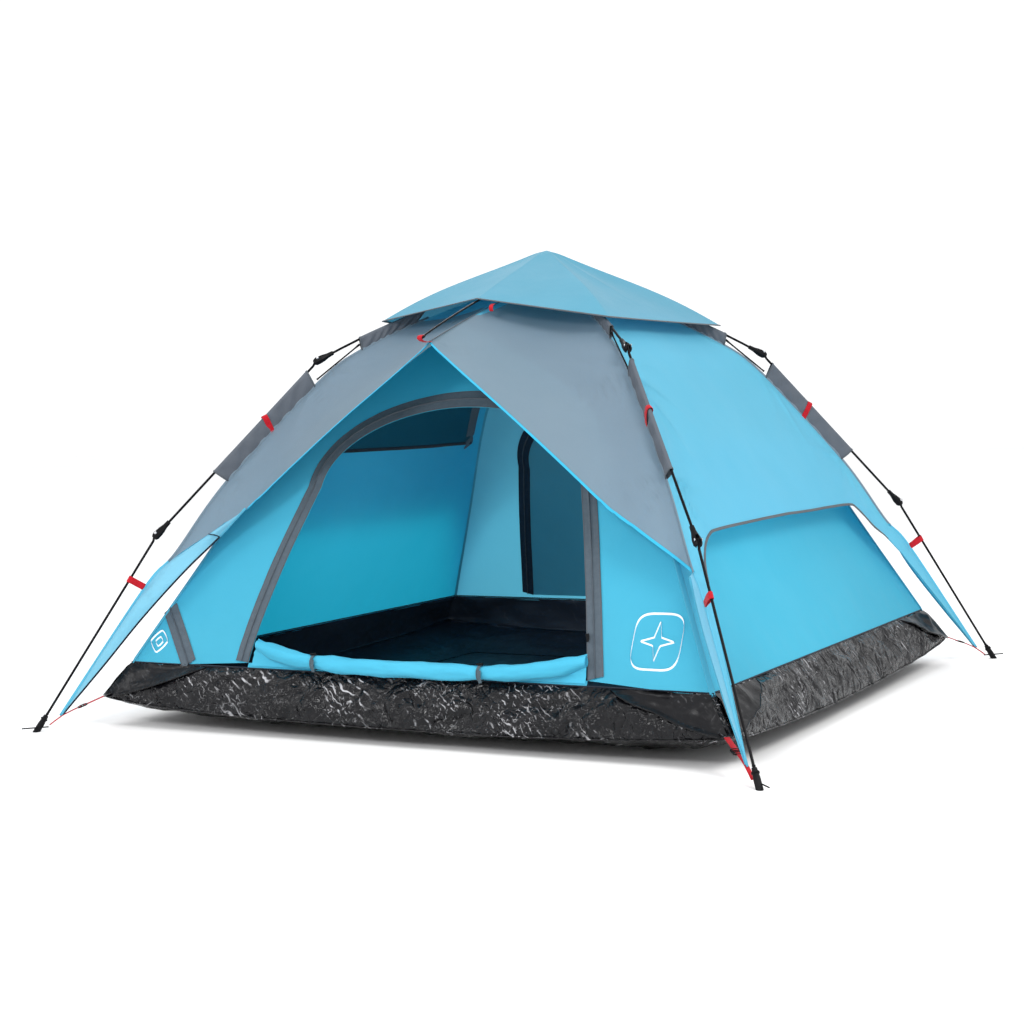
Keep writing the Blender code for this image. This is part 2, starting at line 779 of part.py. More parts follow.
build_roof_cap()
build_fly_panel("fly_front", "front_left", "front_right", True, "fabric_grey")
build_fly_panel("fly_right", "front_right", "rear_right", False, "fabric_blue")
build_fly_panel("fly_rear", "rear_right", "rear_left", True, "fabric_grey")
build_fly_panel("fly_left", "rear_left", "front_left", False, "fabric_blue")

build_front_wall()
build_plain_inner_wall("inner_rear", True, 1)
build_plain_inner_wall("inner_right", False, 1)
build_plain_inner_wall("inner_left", False, -1)
build_groundsheet()
build_door()
build_zip_slider()
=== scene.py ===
"""Looks of the four-legged pop-up tent: cloth, frame details, materials, light and camera."""

import json
import math

import bpy
from mathutils import Matrix, Vector, noise


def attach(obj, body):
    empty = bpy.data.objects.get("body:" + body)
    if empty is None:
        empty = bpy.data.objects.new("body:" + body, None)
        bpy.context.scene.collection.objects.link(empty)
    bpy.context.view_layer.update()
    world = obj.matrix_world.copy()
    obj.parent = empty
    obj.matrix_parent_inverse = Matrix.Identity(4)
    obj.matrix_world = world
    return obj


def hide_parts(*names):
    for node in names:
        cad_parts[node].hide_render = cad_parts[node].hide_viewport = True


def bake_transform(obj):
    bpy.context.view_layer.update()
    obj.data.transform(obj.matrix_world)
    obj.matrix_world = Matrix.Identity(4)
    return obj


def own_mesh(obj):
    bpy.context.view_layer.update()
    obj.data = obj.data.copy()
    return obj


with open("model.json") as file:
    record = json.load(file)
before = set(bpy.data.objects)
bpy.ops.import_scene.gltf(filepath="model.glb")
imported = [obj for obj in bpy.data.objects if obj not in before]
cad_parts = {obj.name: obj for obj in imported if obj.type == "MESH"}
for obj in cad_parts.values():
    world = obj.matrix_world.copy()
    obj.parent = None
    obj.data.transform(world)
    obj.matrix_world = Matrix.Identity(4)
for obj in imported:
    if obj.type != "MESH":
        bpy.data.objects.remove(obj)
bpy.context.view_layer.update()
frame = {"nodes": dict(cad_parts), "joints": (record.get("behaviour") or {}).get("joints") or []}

# ---------------------------------------------------------------- dimensions, in metres

CORNERS = ("front_right", "rear_right", "rear_left", "front_left")
JOINTS = {joint["name"]: joint for joint in frame["joints"]}

# Points in the plane of one leg: (distance from the tent's axis, height).
HUB_PIVOT = (0.050, 1.330)
UPPER_ELBOW = (0.742, 1.063)
LOWER_ELBOW = (1.242, 0.558)
FOOT_RADIUS = 1.610
UPPER_ROD_BOW = 0.022
ROD_RADIUS = 0.00375
SLEEVE_SLACK = 0.0022
STRUT_TIP = (0.789, 1.106)

FLY_LINE = [(0.10, 1.285), (0.35, 1.205), (0.595, 1.098), (0.745, 0.993), (1.03, 0.706),
            (1.19, 0.498), (1.28, 0.405), (1.538, 0.042)]
INNER_LINE = [(0.04, 1.230), (0.35, 1.130), (0.70, 0.960), (0.876, 0.800), (1.063, 0.538),
              (1.326, 0.187), (1.330, 0.176)]
FLY_TOP = 1.285
FLY_TAIL = 0.042
LEG_SEAM_TOP = 1.19

# The awning: its ridge as (forward, height), its lower edge as (sideways, forward, height).
AWNING_RIDGE = [(0.075, 1.285), (0.44, 1.190), (0.745, 1.095)]
AWNING_EDGE = [(0.0, 0.745, 1.095), (0.25, 0.782, 0.899), (0.45, 0.810, 0.742), (0.585, 0.827, 0.631)]
GREY_END = 0.477
# Share of the awning, from the hub down, that is blue: at its ridge and away from it.
BLUE_TOP = (0.60, 0.235)
WING_CORNER = (0.677, 0.836, 0.546)
# Free hem of a wing: (height, inward, toward the awning), measured from the leg's seam.
# Those on the right are tucked in beside their legs, those on the left are spread.
SPREAD_WING = [(0.450, 0.070, 0.060), (0.317, 0.048, 0.036), (0.180, 0.028, 0.020), (0.044, 0.004, 0.004)]
TUCKED_WING = [(0.466, 0.012, 0.012), (0.400, 0.042, 0.007), (0.317, 0.045, 0.007), (0.180, 0.026, 0.007),
               (0.100, 0.012, 0.005), (0.044, 0.004, 0.003)]

# Lower edge of the side panel: (distance from the leg seam, height).
ARCH_FRONT = [(0.004, 0.043), (0.020, 0.150), (0.040, 0.290), (0.053, 0.407), (0.085, 0.470),
              (0.125, 0.523), (0.180, 0.555), (0.250, 0.564), (0.520, 0.569), (0.820, 0.571)]
ARCH_REAR = [(0.004, 0.043), (0.036, 0.150), (0.086, 0.290), (0.126, 0.390), (0.158, 0.466),
             (0.182, 0.520), (0.208, 0.550), (0.250, 0.563), (0.450, 0.568), (0.820, 0.571)]

ROOF_APEX = 1.4035
ROOF_BOW = 0.015
ROOF_CORNER = (0.595, 1.156)
# The front left corner of the cap is slack and hangs a little further in.
SLACK_ROOF_CORNER = (0.540, 1.179)
ROOF_PEAK = (0.465, 1.227)

TUB_RIM = (0.917, 0.963, 0.185)
TUB_EDGE = (0.984, 1.011)
TUB_CORNER_Z = 0.090
TUB_MIDDLE_Z = 0.050
# The groundsheet lies flat inside this share of its outline, and the floor piece reaches under its edge.
TUB_FLAT = 0.72
FLOOR_REACH = 0.735
FLOOR_Z = 0.0012
GUSSET_REACH = 0.150
TUB_CORNERS = ((-1, -1), (1, -1), (1, 1), (-1, 1))
TUB_OUTWARD = ((0, -1, 0), (1, 0, 0), (0, 1, 0), (-1, 0, 0))

DOOR_SILL = 0.200
DOOR_LEFT = -0.500
DOOR_RIGHT = 0.568
DOOR_SHOULDER = 0.690
DOOR_TOP = 0.915
# How far the door's curved and straight sides lean in between the sill and the shoulder.
DOOR_LEAN_LEFT = 0.090
DOOR_LEAN_RIGHT = 0.134
# Share of the door's edge that each side takes; the arch takes the rest.
DOOR_SIDE = 0.36
TAPE_WIDTH = 0.044
ZIP_LIFT = 0.0022
PORT_ZIP = ((-0.832, 0.338), (-0.706, 0.187))
PORT_ZIP_WIDTH = 0.045

VENT_TOP = 0.985
VENT_BOTTOM = 0.785
VENT_MARGIN = 0.075

ROLL_TIES = (0.205, 0.715)

STITCH_PITCH = 0.007
STITCH_HALF = (0.0022, 0.0005)
STITCH_HEIGHT = 0.0006

X_AXIS = Vector((1, 0, 0))
Z_AXIS = Vector((0, 0, 1))


# ---------------------------------------------------------------- small maths

def smooth(low, high, x):
    t = min(max((x - low) / (high - low), 0.0), 1.0)
    return t * t * (3.0 - 2.0 * t)


def mix(a, b, t):
    return a + (b - a) * t


def along(points, share):
    """Point of a smooth curve through some points, at a share of its length."""
    points = [Vector(p) for p in points]
    lengths = [(b - a).length for a, b in zip(points, points[1:])]
    left = min(max(share, 0.0), 1.0) * sum(lengths)
    index = 0
    while index < len(lengths) - 1 and left > lengths[index]:
        left -= lengths[index]
        index += 1
    t = min(left / lengths[index], 1.0)
    a = points[index]
    b = points[index + 1]
    before = points[index - 1] if index > 0 else a * 2.0 - b
    after = points[index + 2] if index + 2 < len(points) else b * 2.0 - a
    slope = b - before
    bend = 2.0 * before - 5.0 * a + 4.0 * b - after
    twist = 3.0 * a - before - 3.0 * b + after
    return 0.5 * (2.0 * a + slope * t + bend * t * t + twist * t ** 3)


def sampled(points, steps):
    return [along(points, i / steps) for i in range(steps + 1)]


FLY_CURVE = sampled(FLY_LINE, 160)
INNER_CURVE = sampled(INNER_LINE, 160)


def radius_at(curve, height):
    """Distance from the axis at which a falling curve passes a height."""
    if height >= curve[0][1]:
        return curve[0][0]
    for (r0, z0), (r1, z1) in zip(curve, curve[1:]):
        if z1 <= height <= z0:
            return mix(r0, r1, (z0 - height) / max(z0 - z1, 1e-9))
    return curve[-1][0]


def leg_azimuth(corner):
    x, y, _ = JOINTS["upper_elbow_" + corner]["pos_m"]
    return math.atan2(y, x)


AZIMUTH = {corner: leg_azimuth(corner) for corner in CORNERS}
COS = abs(math.cos(AZIMUTH["front_right"]))
SIN = abs(math.sin(AZIMUTH["front_right"]))
WING_AZIMUTH = math.atan2(SIN, COS)


def leg_axes(azimuth):
    outward = Vector((math.cos(azimuth), math.sin(azimuth), 0.0))
    sideways = Vector((-math.sin(azimuth), math.cos(azimuth), 0.0))
    return outward, sideways


def quarter_point(place):
    """Point above the leg of the quarter in which x and y are positive."""
    return Vector((place[0] * COS, place[0] * SIN, place[1]))


def seam_place(height):
    """Place of the fly's seam in its leg's plane."""
    return Vector((radius_at(FLY_CURVE, height), height))


def rounded_square(angle, power):
    """Point on a unit circle that a power below 1 squares off, and one above 1 pinches."""
    a, b = math.cos(angle), math.sin(angle)
    return math.copysign(abs(a) ** power, a), math.copysign(abs(b) ** power, b)


def leg_point(azimuth, place, side=0.0):
    outward, sideways = leg_axes(azimuth)
    return outward * place[0] + sideways * side + Vector((0.0, 0.0, place[1]))


def bumps(point, scale, seed=0.0):
    """Smooth noise from about -1 to 1."""
    x, y, z = (point[i] * scale for i in range(3))
    return noise.noise(Vector((x + seed, y - seed, z + 3.1 * seed)))


def folds(point, anchor, count, reach, depth, phase=0.0):
    """Creases that run out from a place where the cloth is pulled."""
    offset = Vector(point) - Vector(anchor)
    distance = offset.length
    if distance >= reach or distance < 1e-5:
        return 0.0
    bearing = math.atan2(offset.z, offset.x + offset.y)
    wander = 0.9 * bumps(point, 5.0, phase)
    crest = 1.0 - abs(math.sin(0.5 * count * bearing + phase + wander))
    fade = (1.0 - distance / reach) ** 2 * smooth(0.0, 0.05, distance)
    return depth * crest * crest * fade


# ---------------------------------------------------------------- mesh makers

MATERIALS = {}


def add_mesh(name, points, faces, material):
    mesh = bpy.data.meshes.new(name)
    mesh.from_pydata([tuple(p) for p in points], [], faces)
    mesh.materials.append(MATERIALS[material])
    mesh.polygons.foreach_set("use_smooth", [True] * len(mesh.polygons))
    mesh.update()
    item = bpy.data.objects.new(name, mesh)
    bpy.context.scene.collection.objects.link(item)
    return item


def grid_faces(rows, columns, around=False):
    faces = []
    for i in range(rows - 1):
        for j in range(columns if around else columns - 1):
            k = (j + 1) % columns
            faces.append((i * columns + j, i * columns + k, (i + 1) * columns + k, (i + 1) * columns + j))
    return faces


def cloth(name, rows, columns, place, material):
    """Sheet through place(u, v), u across and v down, both from 0 to 1.  Returns it with its rows."""
    grid = [[Vector(place(j / (columns - 1), i / (rows - 1))) for j in range(columns)] for i in range(rows)]
    points = [point for row in grid for point in row]
    return add_mesh(name, points, grid_faces(rows, columns), material), grid


def column(grid, index):
    return [row[index] for row in grid]


def with_ends(points, faces, count):
    """Adds the two end faces of a solid whose rings have this many points."""
    faces.append(tuple(range(count - 1, -1, -1)))
    faces.append(tuple(range(len(points) - count, len(points))))
    return points, faces


def frames(path, wide):
    """For each point of a path: the point, and the directions along, across and up."""
    found = []
    for i, centre in enumerate(path):
        forward = (path[min(i + 1, len(path) - 1)] - path[max(i - 1, 0)]).normalized()
        hint = wide[i] if isinstance(wide, list) else wide
        across = (hint - forward * hint.dot(forward)).normalized()
        found.append((centre, forward, across, forward.cross(across)))
    return found


def skin(path, section, wide=Z_AXIS):
    """Points and faces of a solid along a path.  section(share) gives its (wide, high) offsets."""
    points = []
    for i, (centre, _, across, upward) in enumerate(frames(path, wide)):
        ring = section(i / (len(path) - 1))
        points += [centre + across * a + upward * b for a, b in ring]
    return with_ends(points, grid_faces(len(path), len(ring), True), len(ring))


def sweep(name, path, section, material, wide=Z_AXIS):
    points, faces = skin(path, section, wide)
    return add_mesh(name, points, faces, material)


def round_section(radius, sides=10):
    return [(radius * math.cos(2 * math.pi * i / sides), radius * math.sin(2 * math.pi * i / sides))
            for i in range(sides)]


def flat_section(width, thickness, sides=12, shift=0.0):
    """Flattened oval, for webbing, tape and folded hems."""
    ring = []
    for i in range(sides):
        a, b = rounded_square(2 * math.pi * i / sides, 0.6)
        ring.append((a * width / 2.0 + shift, b * thickness / 2.0))
    return ring


def tube(name, path, radius, material, sides=10):
    return sweep(name, path, lambda share: round_section(radius, sides), material)


def strap(name, path, width, thickness, material, wide):
    return sweep(name, path, lambda share: flat_section(width, thickness), material, wide)


def add_stitches(points, faces, path, wide, inset, height):
    """Adds a row of short raised stitches on both faces of a hem."""
    travelled = 0.0
    start = path[0]
    for centre, forward, across, upward in frames(path, wide)[1:]:
        travelled += (centre - start).length
        start = centre
        if travelled < STITCH_PITCH:
            continue
        travelled = 0.0
        for face in (-1.0, 1.0):
            middle = centre + across * inset + upward * (height * face)
            first = len(points)
            for end, side in ((-1, -1), (-1, 1), (1, 1), (1, -1)):
                points.append(middle + forward * (end * STITCH_HALF[0]) + across * (side * STITCH_HALF[1]))
            points.append(middle + upward * (face * STITCH_HEIGHT))
            faces += [(first + k, first + (k + 1) % 4, first + 4) for k in range(4)]


def hem(name, edge, inner, width, thickness, material):
    """Folded and stitched hem along an edge; inner is the row of points next to it."""
    wide = [b - a for a, b in zip(edge, inner)]
    points, faces = skin(edge, lambda share: flat_section(width, thickness, shift=width * 0.36), wide)
    add_stitches(points, faces, edge, wide, width * 0.62, thickness * 0.45)
    return add_mesh(name, points, faces, material)


def resample(path, step):
    """The same path with points about a step apart."""
    lengths = [(b - a).length for a, b in zip(path, path[1:])]
    count = max(2, int(sum(lengths) / step))
    out = []
    for i in range(count + 1):
        left = sum(lengths) * i / count
        index = 0
        while index < len(lengths) - 1 and left > lengths[index]:
            left -= lengths[index]
            index += 1
        out.append(path[index].lerp(path[index + 1], min(left / max(lengths[index], 1e-9), 1.0)))
    return out


# ---------------------------------------------------------------- materials

class Shader:
    """One material and the few kinds of node that these materials are made of."""

    def __init__(self, name):
        self.material = bpy.data.materials.new(name)
        self.material.use_nodes = True
        self.tree = self.material.node_tree
        self.main = self.tree.nodes["Principled BSDF"]
        self.output = self.tree.nodes["Material Output"]
        self.place = self.new("TexCoord").outputs["Object"]
        MATERIALS[name] = self.material

    def feed(self, socket, value):
        """Gives a socket a number, a vector or a colour, or links it to another node's output."""
        if isinstance(value, bpy.types.NodeSocket):
            self.tree.links.new(value, socket)
        elif isinstance(value, tuple) and len(socket.default_value) == 4:
            socket.default_value = (*value, 1.0)
        else:
            socket.default_value = value

    def new(self, kind, values=None, **settings):
        """A node of one kind, with its settings, and with values or links for its inputs."""
        node = self.tree.nodes.new("ShaderNode" + kind)
        for name, setting in settings.items():
            setattr(node, name, setting)
        for name, value in (values or {}).items():
            self.feed(node.inputs[name], value)
        return node

    def set(self, **values):
        for name, value in values.items():
            self.main.inputs[name.replace("_", " ")].default_value = value

    def mapped(self, stretch):
        if stretch is None:
            return self.place
        return self.new("Mapping", {"Scale": stretch, "Vector": self.place}).outputs["Vector"]

    def noise(self, scale, detail=3.0, roughness=0.55, distortion=0.0):
        values = {"Scale": scale, "Detail": detail, "Roughness": roughness, "Distortion": distortion,
                  "Vector": self.place}
        return self.new("TexNoise", values).outputs["Fac"]

    def cell_edges(self, scale, stretch=None):
        values = {"Scale": scale, "Vector": self.mapped(stretch)}
        return self.new("TexVoronoi", values, feature="DISTANCE_TO_EDGE").outputs["Distance"]

    def waves(self, scale, direction="X", distortion=0.0):
        values = {"Scale": scale, "Distortion": distortion, "Vector": self.place}
        return self.new("TexWave", values, bands_direction=direction).outputs["Fac"]

    def remap(self, value, low, high, start=0.0, end=1.0):
        values = {"Value": value, "From Min": low, "From Max": high, "To Min": start, "To Max": end}
        return self.new("MapRange", values).outputs["Result"]

    def maths(self, operation, a, b):
        return self.new("Math", {0: a, 1: b}, operation=operation).outputs["Value"]

    def blend(self, factor, first, second):
        return self.new("Mix", {0: factor, 6: first, 7: second}, data_type="RGBA").outputs[2]

    def glinted(self, tint, shares, brightness):
        """The tint with painted highlights: pale marks where every share is high."""
        pale = shares[0]
        for share in shares[1:]:
            pale = self.maths("MULTIPLY", pale, share)
        return self.blend(pale, tint, (brightness, brightness, brightness * 1.05))

    def bump(self, height, distance, strength=1.0, before=None):
        values = {"Height": height, "Distance": distance, "Strength": strength}
        if before is not None:
            values["Normal"] = before
        return self.new("Bump", values).outputs["Normal"]

    def paint(self, colour, roughness, normal=None):
        for name, source in (("Base Color", colour), ("Roughness", roughness), ("Normal", normal)):
            if source is not None:
                self.feed(self.main.inputs[name], source)

    def let_through(self, colour, share, normal=None, kind="BsdfTranslucent"):
        """Lets a share of the light pass through the sheet."""
        values = {"Color": colour}
        if normal is not None:
            values["Normal"] = normal
        through = self.new(kind, values)
        both = self.new("MixShader", {"Fac": share, 1: self.main.outputs["BSDF"], 2: through.outputs["BSDF"]})
        self.feed(self.output.inputs["Surface"], both.outputs["Shader"])


def coated_cloth(name, colour, dark, through, share, roughness=0.62):
    """Thin coated polyester: plain weave, soft creases, a little uneven in colour and gloss."""
    shader = Shader(name)
    patches = shader.noise(3.2, 4.0, 0.6, 0.3)
    weave = shader.maths("MULTIPLY", shader.waves(420.0, "X", 0.4), shader.waves(420.0, "Z", 0.4))
    threads = shader.maths("MULTIPLY", shader.noise(900.0, 1.0), 0.5)
    shade = shader.remap(patches, 0.30, 0.72)
    tint = shader.blend(shade, dark, colour)
    speckle = shader.remap(shader.noise(260.0, 2.0), 0.25, 0.75, 0.0, 0.10)
    tint = shader.blend(speckle, tint, tuple(min(1.0, c * 1.18 + 0.01) for c in colour))
    gloss = shader.remap(shader.noise(9.0, 3.0, 0.6), 0.2, 0.8, roughness - 0.07, roughness + 0.08)
    crumple = shader.bump(shader.noise(17.0, 4.0, 0.55, 0.6), 0.010, 0.10)
    fine = shader.bump(shader.maths("ADD", weave, threads), 0.00025, 0.35, crumple)
    shader.paint(tint, gloss, fine)
    shader.set(Sheen_Weight=0.06, Sheen_Roughness=0.45, Specular_IOR_Level=0.16)
    if share > 0.0:
        shader.let_through(through, share, fine)


def tarpaulin(name, colour, dark, crumpled, gloss, specular):
    """Black polyethylene sheet: sharp creases, and painted highlights in short pale strokes and cell edges
    where it is crumpled most.
    """
    shader = Shader(name)
    patches = shader.noise(5.0, 4.0, 0.6, 0.2)
    tint = shader.blend(shader.remap(patches, 0.3, 0.7), dark, colour)
    normal = None
    for scale, detail, depth in ((7.0, 0.0, 0.050), (19.0, 0.6, 0.022), (46.0, 1.0, 0.0060)):
        creases = shader.noise(scale, detail, 0.5, 1.2)
        crest = shader.maths("ABSOLUTE", shader.maths("SUBTRACT", creases, 0.5), 0.0)
        normal = shader.bump(crest, depth, crumpled, normal)
    # Painted highlights: pale diagonal strokes that stand in for light glinting off the crumpled sheet.
    for scale, busy_scale, glint in ((15.0, 4.1, 0.50), (24.0, 5.3, 0.40)):
        streaks = shader.remap(shader.waves(scale, "DIAGONAL", 7.0), 0.86, 0.96)
        ragged = shader.remap(shader.noise(scale * 2.2, 2.0, 0.6), 0.50, 0.60)
        busy = shader.remap(shader.noise(busy_scale, 2.0, 0.5, 0.6), 0.53, 0.62)
        tint = shader.glinted(tint, (streaks, ragged, busy, crumpled), glint)
    # More painted highlights, as thin pale cell edges in clusters.
    for scale, stretch in ((34.0, (0.7, 0.7, 1.0)), (60.0, (1.0, 1.0, 0.6))):
        edges = shader.remap(shader.cell_edges(scale, stretch), 0.010, 0.050, 1.0, 0.0)
        ragged = shader.remap(shader.noise(scale * 1.4, 2.0), 0.54, 0.62)
        busy = shader.remap(shader.noise(3.6 + scale * 0.03, 2.0, 0.5, 0.4), 0.50, 0.62)
        tint = shader.glinted(tint, (edges, ragged, busy, crumpled), 0.34)
    strands = shader.maths("MULTIPLY", shader.waves(300.0, "X"), shader.waves(300.0, "Z"))
    normal = shader.bump(strands, 0.0002, 0.15, normal)
    uneven = shader.remap(shader.noise(16.0, 3.0, 0.6), 0.25, 0.75, gloss - 0.06, gloss + 0.10)
    shader.paint(tint, uneven, normal)
    shader.set(Specular_IOR_Level=specular)


def webbing(name, colour, dark):
    """Woven tape: fine ribs and a slightly uneven dye."""
    shader = Shader(name)
    ribs = shader.maths("MULTIPLY", shader.waves(520.0, "X", 0.3), shader.waves(520.0, "Z", 0.3))
    tint = shader.blend(shader.remap(shader.noise(60.0, 3.0), 0.3, 0.7), dark, colour)
    tint = shader.blend(shader.remap(ribs, 0.0, 1.0, 0.22, 0.0), tint, tuple(c * 0.55 for c in dark))
    shader.paint(tint, shader.remap(shader.noise(90.0), 0.3, 0.7, 0.66, 0.80),
                 shader.bump(ribs, 0.0005, 0.6))
    shader.set(Sheen_Weight=0.10, Sheen_Roughness=0.5, Specular_IOR_Level=0.15)


def hard(name, colour, dark, roughness, grain, depth, metallic=0.0, specular=0.5):
    """Rod, moulded nylon or metal: small grain, and wear that changes the gloss."""
    shader = Shader(name)
    wear = shader.noise(38.0, 4.0, 0.65)
    tint = shader.blend(shader.remap(wear, 0.35, 0.70), dark, colour)
    surface = shader.bump(shader.noise(grain, 3.0, 0.6), depth, 0.5)
    shader.paint(tint, shader.remap(wear, 0.25, 0.75, roughness - 0.06, roughness + 0.10), surface)
    shader.set(Metallic=metallic, Specular_IOR_Level=specular)


def make_materials():
    coated_cloth("blue_fly", (0.138, 0.520, 0.700), (0.120, 0.488, 0.665), (0.07, 0.49, 0.69), 0.32)
    coated_cloth("blue_wing", (0.230, 0.540, 0.690), (0.190, 0.490, 0.640), (0.15, 0.50, 0.68), 0.32)
    coated_cloth("blue_cap", (0.108, 0.345, 0.470), (0.096, 0.320, 0.442), (0.08, 0.36, 0.50), 0.20)
    coated_cloth("blue_inner", (0.086, 0.520, 0.725), (0.073, 0.484, 0.688), (0.010, 0.50, 0.72), 0.40)
    # Lighter copy of the inner wall cloth for the rear wall: painted light, the glow of light shining through
    # it from behind.
    coated_cloth("blue_rear_painted_backlight", (0.190, 0.600, 0.770), (0.160, 0.550, 0.720), (0.12, 0.56, 0.76), 0.42)
    coated_cloth("blue_door", (0.076, 0.470, 0.670), (0.062, 0.430, 0.620), (0.04, 0.48, 0.70), 0.20)
    coated_cloth("grey_fly", (0.190, 0.252, 0.310), (0.168, 0.230, 0.286), (0.20, 0.42, 0.50), 0.26)
    coated_cloth("grey_sleeve", (0.112, 0.128, 0.152), (0.082, 0.095, 0.116), (0.1, 0.11, 0.12), 0.10)
    coated_cloth("hem_cyan", (0.036, 0.430, 0.660), (0.028, 0.380, 0.600), (0.02, 0.45, 0.70), 0.10, 0.45)
    coated_cloth("hem_blue", (0.060, 0.330, 0.470), (0.050, 0.290, 0.430), (0.05, 0.3, 0.5), 0.05)
    coated_cloth("hem_grey", (0.085, 0.098, 0.112), (0.065, 0.075, 0.088), (0.1, 0.1, 0.1), 0.0)
    # Darker copy of the wall cloth for the rear door panel: painted shade where two layers let less light
    # through.
    coated_cloth("double_door_painted_shade", (0.062, 0.255, 0.350), (0.048, 0.215, 0.300), (0.03, 0.26, 0.38), 0.20)
    webbing("zip_tape", (0.090, 0.118, 0.146), (0.072, 0.096, 0.120))
    webbing("navy_tape", (0.006, 0.022, 0.045), (0.004, 0.016, 0.034))
    webbing("binding_dark", (0.006, 0.012, 0.026), (0.004, 0.008, 0.018))
    webbing("red_webbing", (0.520, 0.007, 0.018), (0.400, 0.005, 0.013))
    webbing("tie_tape", (0.075, 0.110, 0.135), (0.055, 0.085, 0.105))
    tarpaulin("black_sheet", (0.0065, 0.0065, 0.0080), (0.0025, 0.0025, 0.0035), 0.85, 0.15, 0.24)
    # Lighter, bluish copy of the black sheet for its inside faces: painted light, the blue glow inside the
    # tent.
    tarpaulin("black_floor_painted_light", (0.0150, 0.0210, 0.0340), (0.0110, 0.0160, 0.0260), 0.03, 0.50, 0.30)
    # Darker, less glossy copy of the black sheet for the gusset triangles: painted shade on the folds.
    tarpaulin("black_fold_painted_shade", (0.0050, 0.0050, 0.0065), (0.0030, 0.0030, 0.0040), 0.10, 0.30, 0.20)
    hard("rod_black", (0.004, 0.004, 0.005), (0.002, 0.002, 0.003), 0.36, 400.0, 0.00010, specular=0.08)
    hard("nylon_black", (0.005, 0.005, 0.006), (0.003, 0.003, 0.004), 0.42, 700.0, 0.00015, specular=0.11)
    hard("steel", (0.62, 0.62, 0.64), (0.46, 0.46, 0.48), 0.26, 500.0, 0.00008, metallic=1.0)
    hard("white_print", (0.82, 0.86, 0.88), (0.72, 0.78, 0.82), 0.50, 300.0, 0.00010, specular=0.35)
    hard("zip_coil", (0.066, 0.082, 0.100), (0.046, 0.056, 0.070), 0.42, 800.0, 0.00030, specular=0.25)
    netting("vent_mesh")


def netting(name):
    """Fine dark mosquito mesh, partly see-through."""
    shader = Shader(name)
    lines = shader.maths("MAXIMUM", shader.waves(380.0, "Y"), shader.waves(380.0, "Z"))
    tint = shader.blend(shader.remap(lines, 0.4, 0.9), (0.003, 0.042, 0.064), (0.005, 0.076, 0.112))
    shader.paint(tint, shader.remap(lines, 0.0, 1.0, 0.75, 0.55), shader.bump(lines, 0.0004, 0.5))
    shader.set(Specular_IOR_Level=0.25)
    shader.let_through((1.0, 1.0, 1.0), 0.16, kind="BsdfTransparent")


# ---------------------------------------------------------------- keeping track of pieces

def put(item, body, replaces=(), squash=False):
    """Hangs a piece on its body, and lets it sink with the hub if it is canopy cloth."""
    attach(item, body)
    if replaces:
        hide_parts(*replaces)
    if squash:
        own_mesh(item)
    return item


def canopy(item, replaces=()):
    return put(item, "canopy", replaces, squash=True)


# ---------------------------------------------------------------- fly

def fly_seam(corner, height):
    return leg_point(AZIMUTH[corner], seam_place(height))


def side_creases(point, half):
    """Height of the creases in a side panel, zero at its seams."""
    y = point.y
    flat_band = mix(0.24, 0.06, smooth(0.52, 0.66, point.z))
    edge = smooth(0.0, flat_band, half - abs(y))
    depth = 0.0060 * bumps(point, 2.6, 4.0) + 0.0022 * bumps(point, 7.0, 9.0)
    for sign in (-1.0, 1.0):
        outer = Vector((point.x, sign * half, point.z))
        for place, phase in (((0.745, 0.993), 0.4), ((1.03, 0.706), 1.3), ((1.19, 0.498), 2.1)):
            anchor = Vector((place[0] * COS, sign * place[0] * SIN, place[1]))
            depth += folds(Vector((anchor.x, y, point.z)), anchor, 9, 0.46, 0.0080, phase + sign)
        pull = abs(y - outer.y)
        depth += 0.0010 * math.sin(point.z * 95.0 + 2.0 * bumps(point, 9.0)) * math.exp(-pull / 0.05)
    return depth * edge


def side_panel_point(sign, y_share, height):
    """Point of a side panel, from its front seam (-1) to its rear seam (1)."""
    radius = radius_at(FLY_CURVE, height)
    half = radius * SIN
    flat = Vector((radius * COS, y_share * half, height))
    slope = 0.62 if height > 0.9 else 0.80
    normal = Vector((slope, 0.0, math.sqrt(1.0 - slope * slope)))
    sag = -0.010 * (1.0 - y_share * y_share) * smooth(0.50, 0.80, height) * smooth(1.20, 0.95, height)
    point = flat + normal * (sag + side_creases(flat, half))
    return Vector((point.x * sign, point.y, point.z))


def arch_edge(share):
    """Lower edge of a side panel as (share across, height), from the front foot to the rear foot."""
    half_path = ARCH_FRONT if share <= 0.5 else ARCH_REAR
    path = [Vector((d, z)) for d, z in half_path]
    place = along(path, min(share, 1.0 - share) * 2.0)
    half = radius_at(FLY_CURVE, place.y) * SIN
    across = 1.0 - max(place.x, 0.0) / half
    return (-across if share <= 0.5 else across), place.y


def build_side_panel(name, sign, cad_node):
    def place(u, v):
        across, low = arch_edge(u)
        if abs(u - 0.5) < 1e-6:
            across = 0.0
        # Columns leave the seam's tail quickly, so that the band down the leg keeps its width.
        spread = 2.0 * u - 1.0
        height = mix(low, FLY_TOP, v ** 0.9)
        share = mix(across, spread, smooth(0.0, 0.75, (height - low) / (FLY_TOP - low)))
        if u in (0.0, 1.0):
            share = math.copysign(1.0, spread)
        return side_panel_point(sign, share, height)

    item, grid = cloth(name, 72, 161, place, "blue_fly")
    canopy(item, [cad_node])
    edge = grid[0]
    arch = [i for i, p in enumerate(edge) if p.z > 0.44]
    first, last = arch[0], arch[-1]
    piping = hem(name + "_arch_piping", edge[first:last + 1], grid[1][first:last + 1],
                 0.0085, 0.0034, "hem_grey")
    canopy(piping)
    for word, part in (("front", slice(2, first + 1)), ("rear", slice(last, len(edge) - 2))):
        band = hem("%s_%s_band_hem" % (name, word), edge[part], grid[1][part], 0.0050, 0.0022, "hem_blue")
        canopy(band)


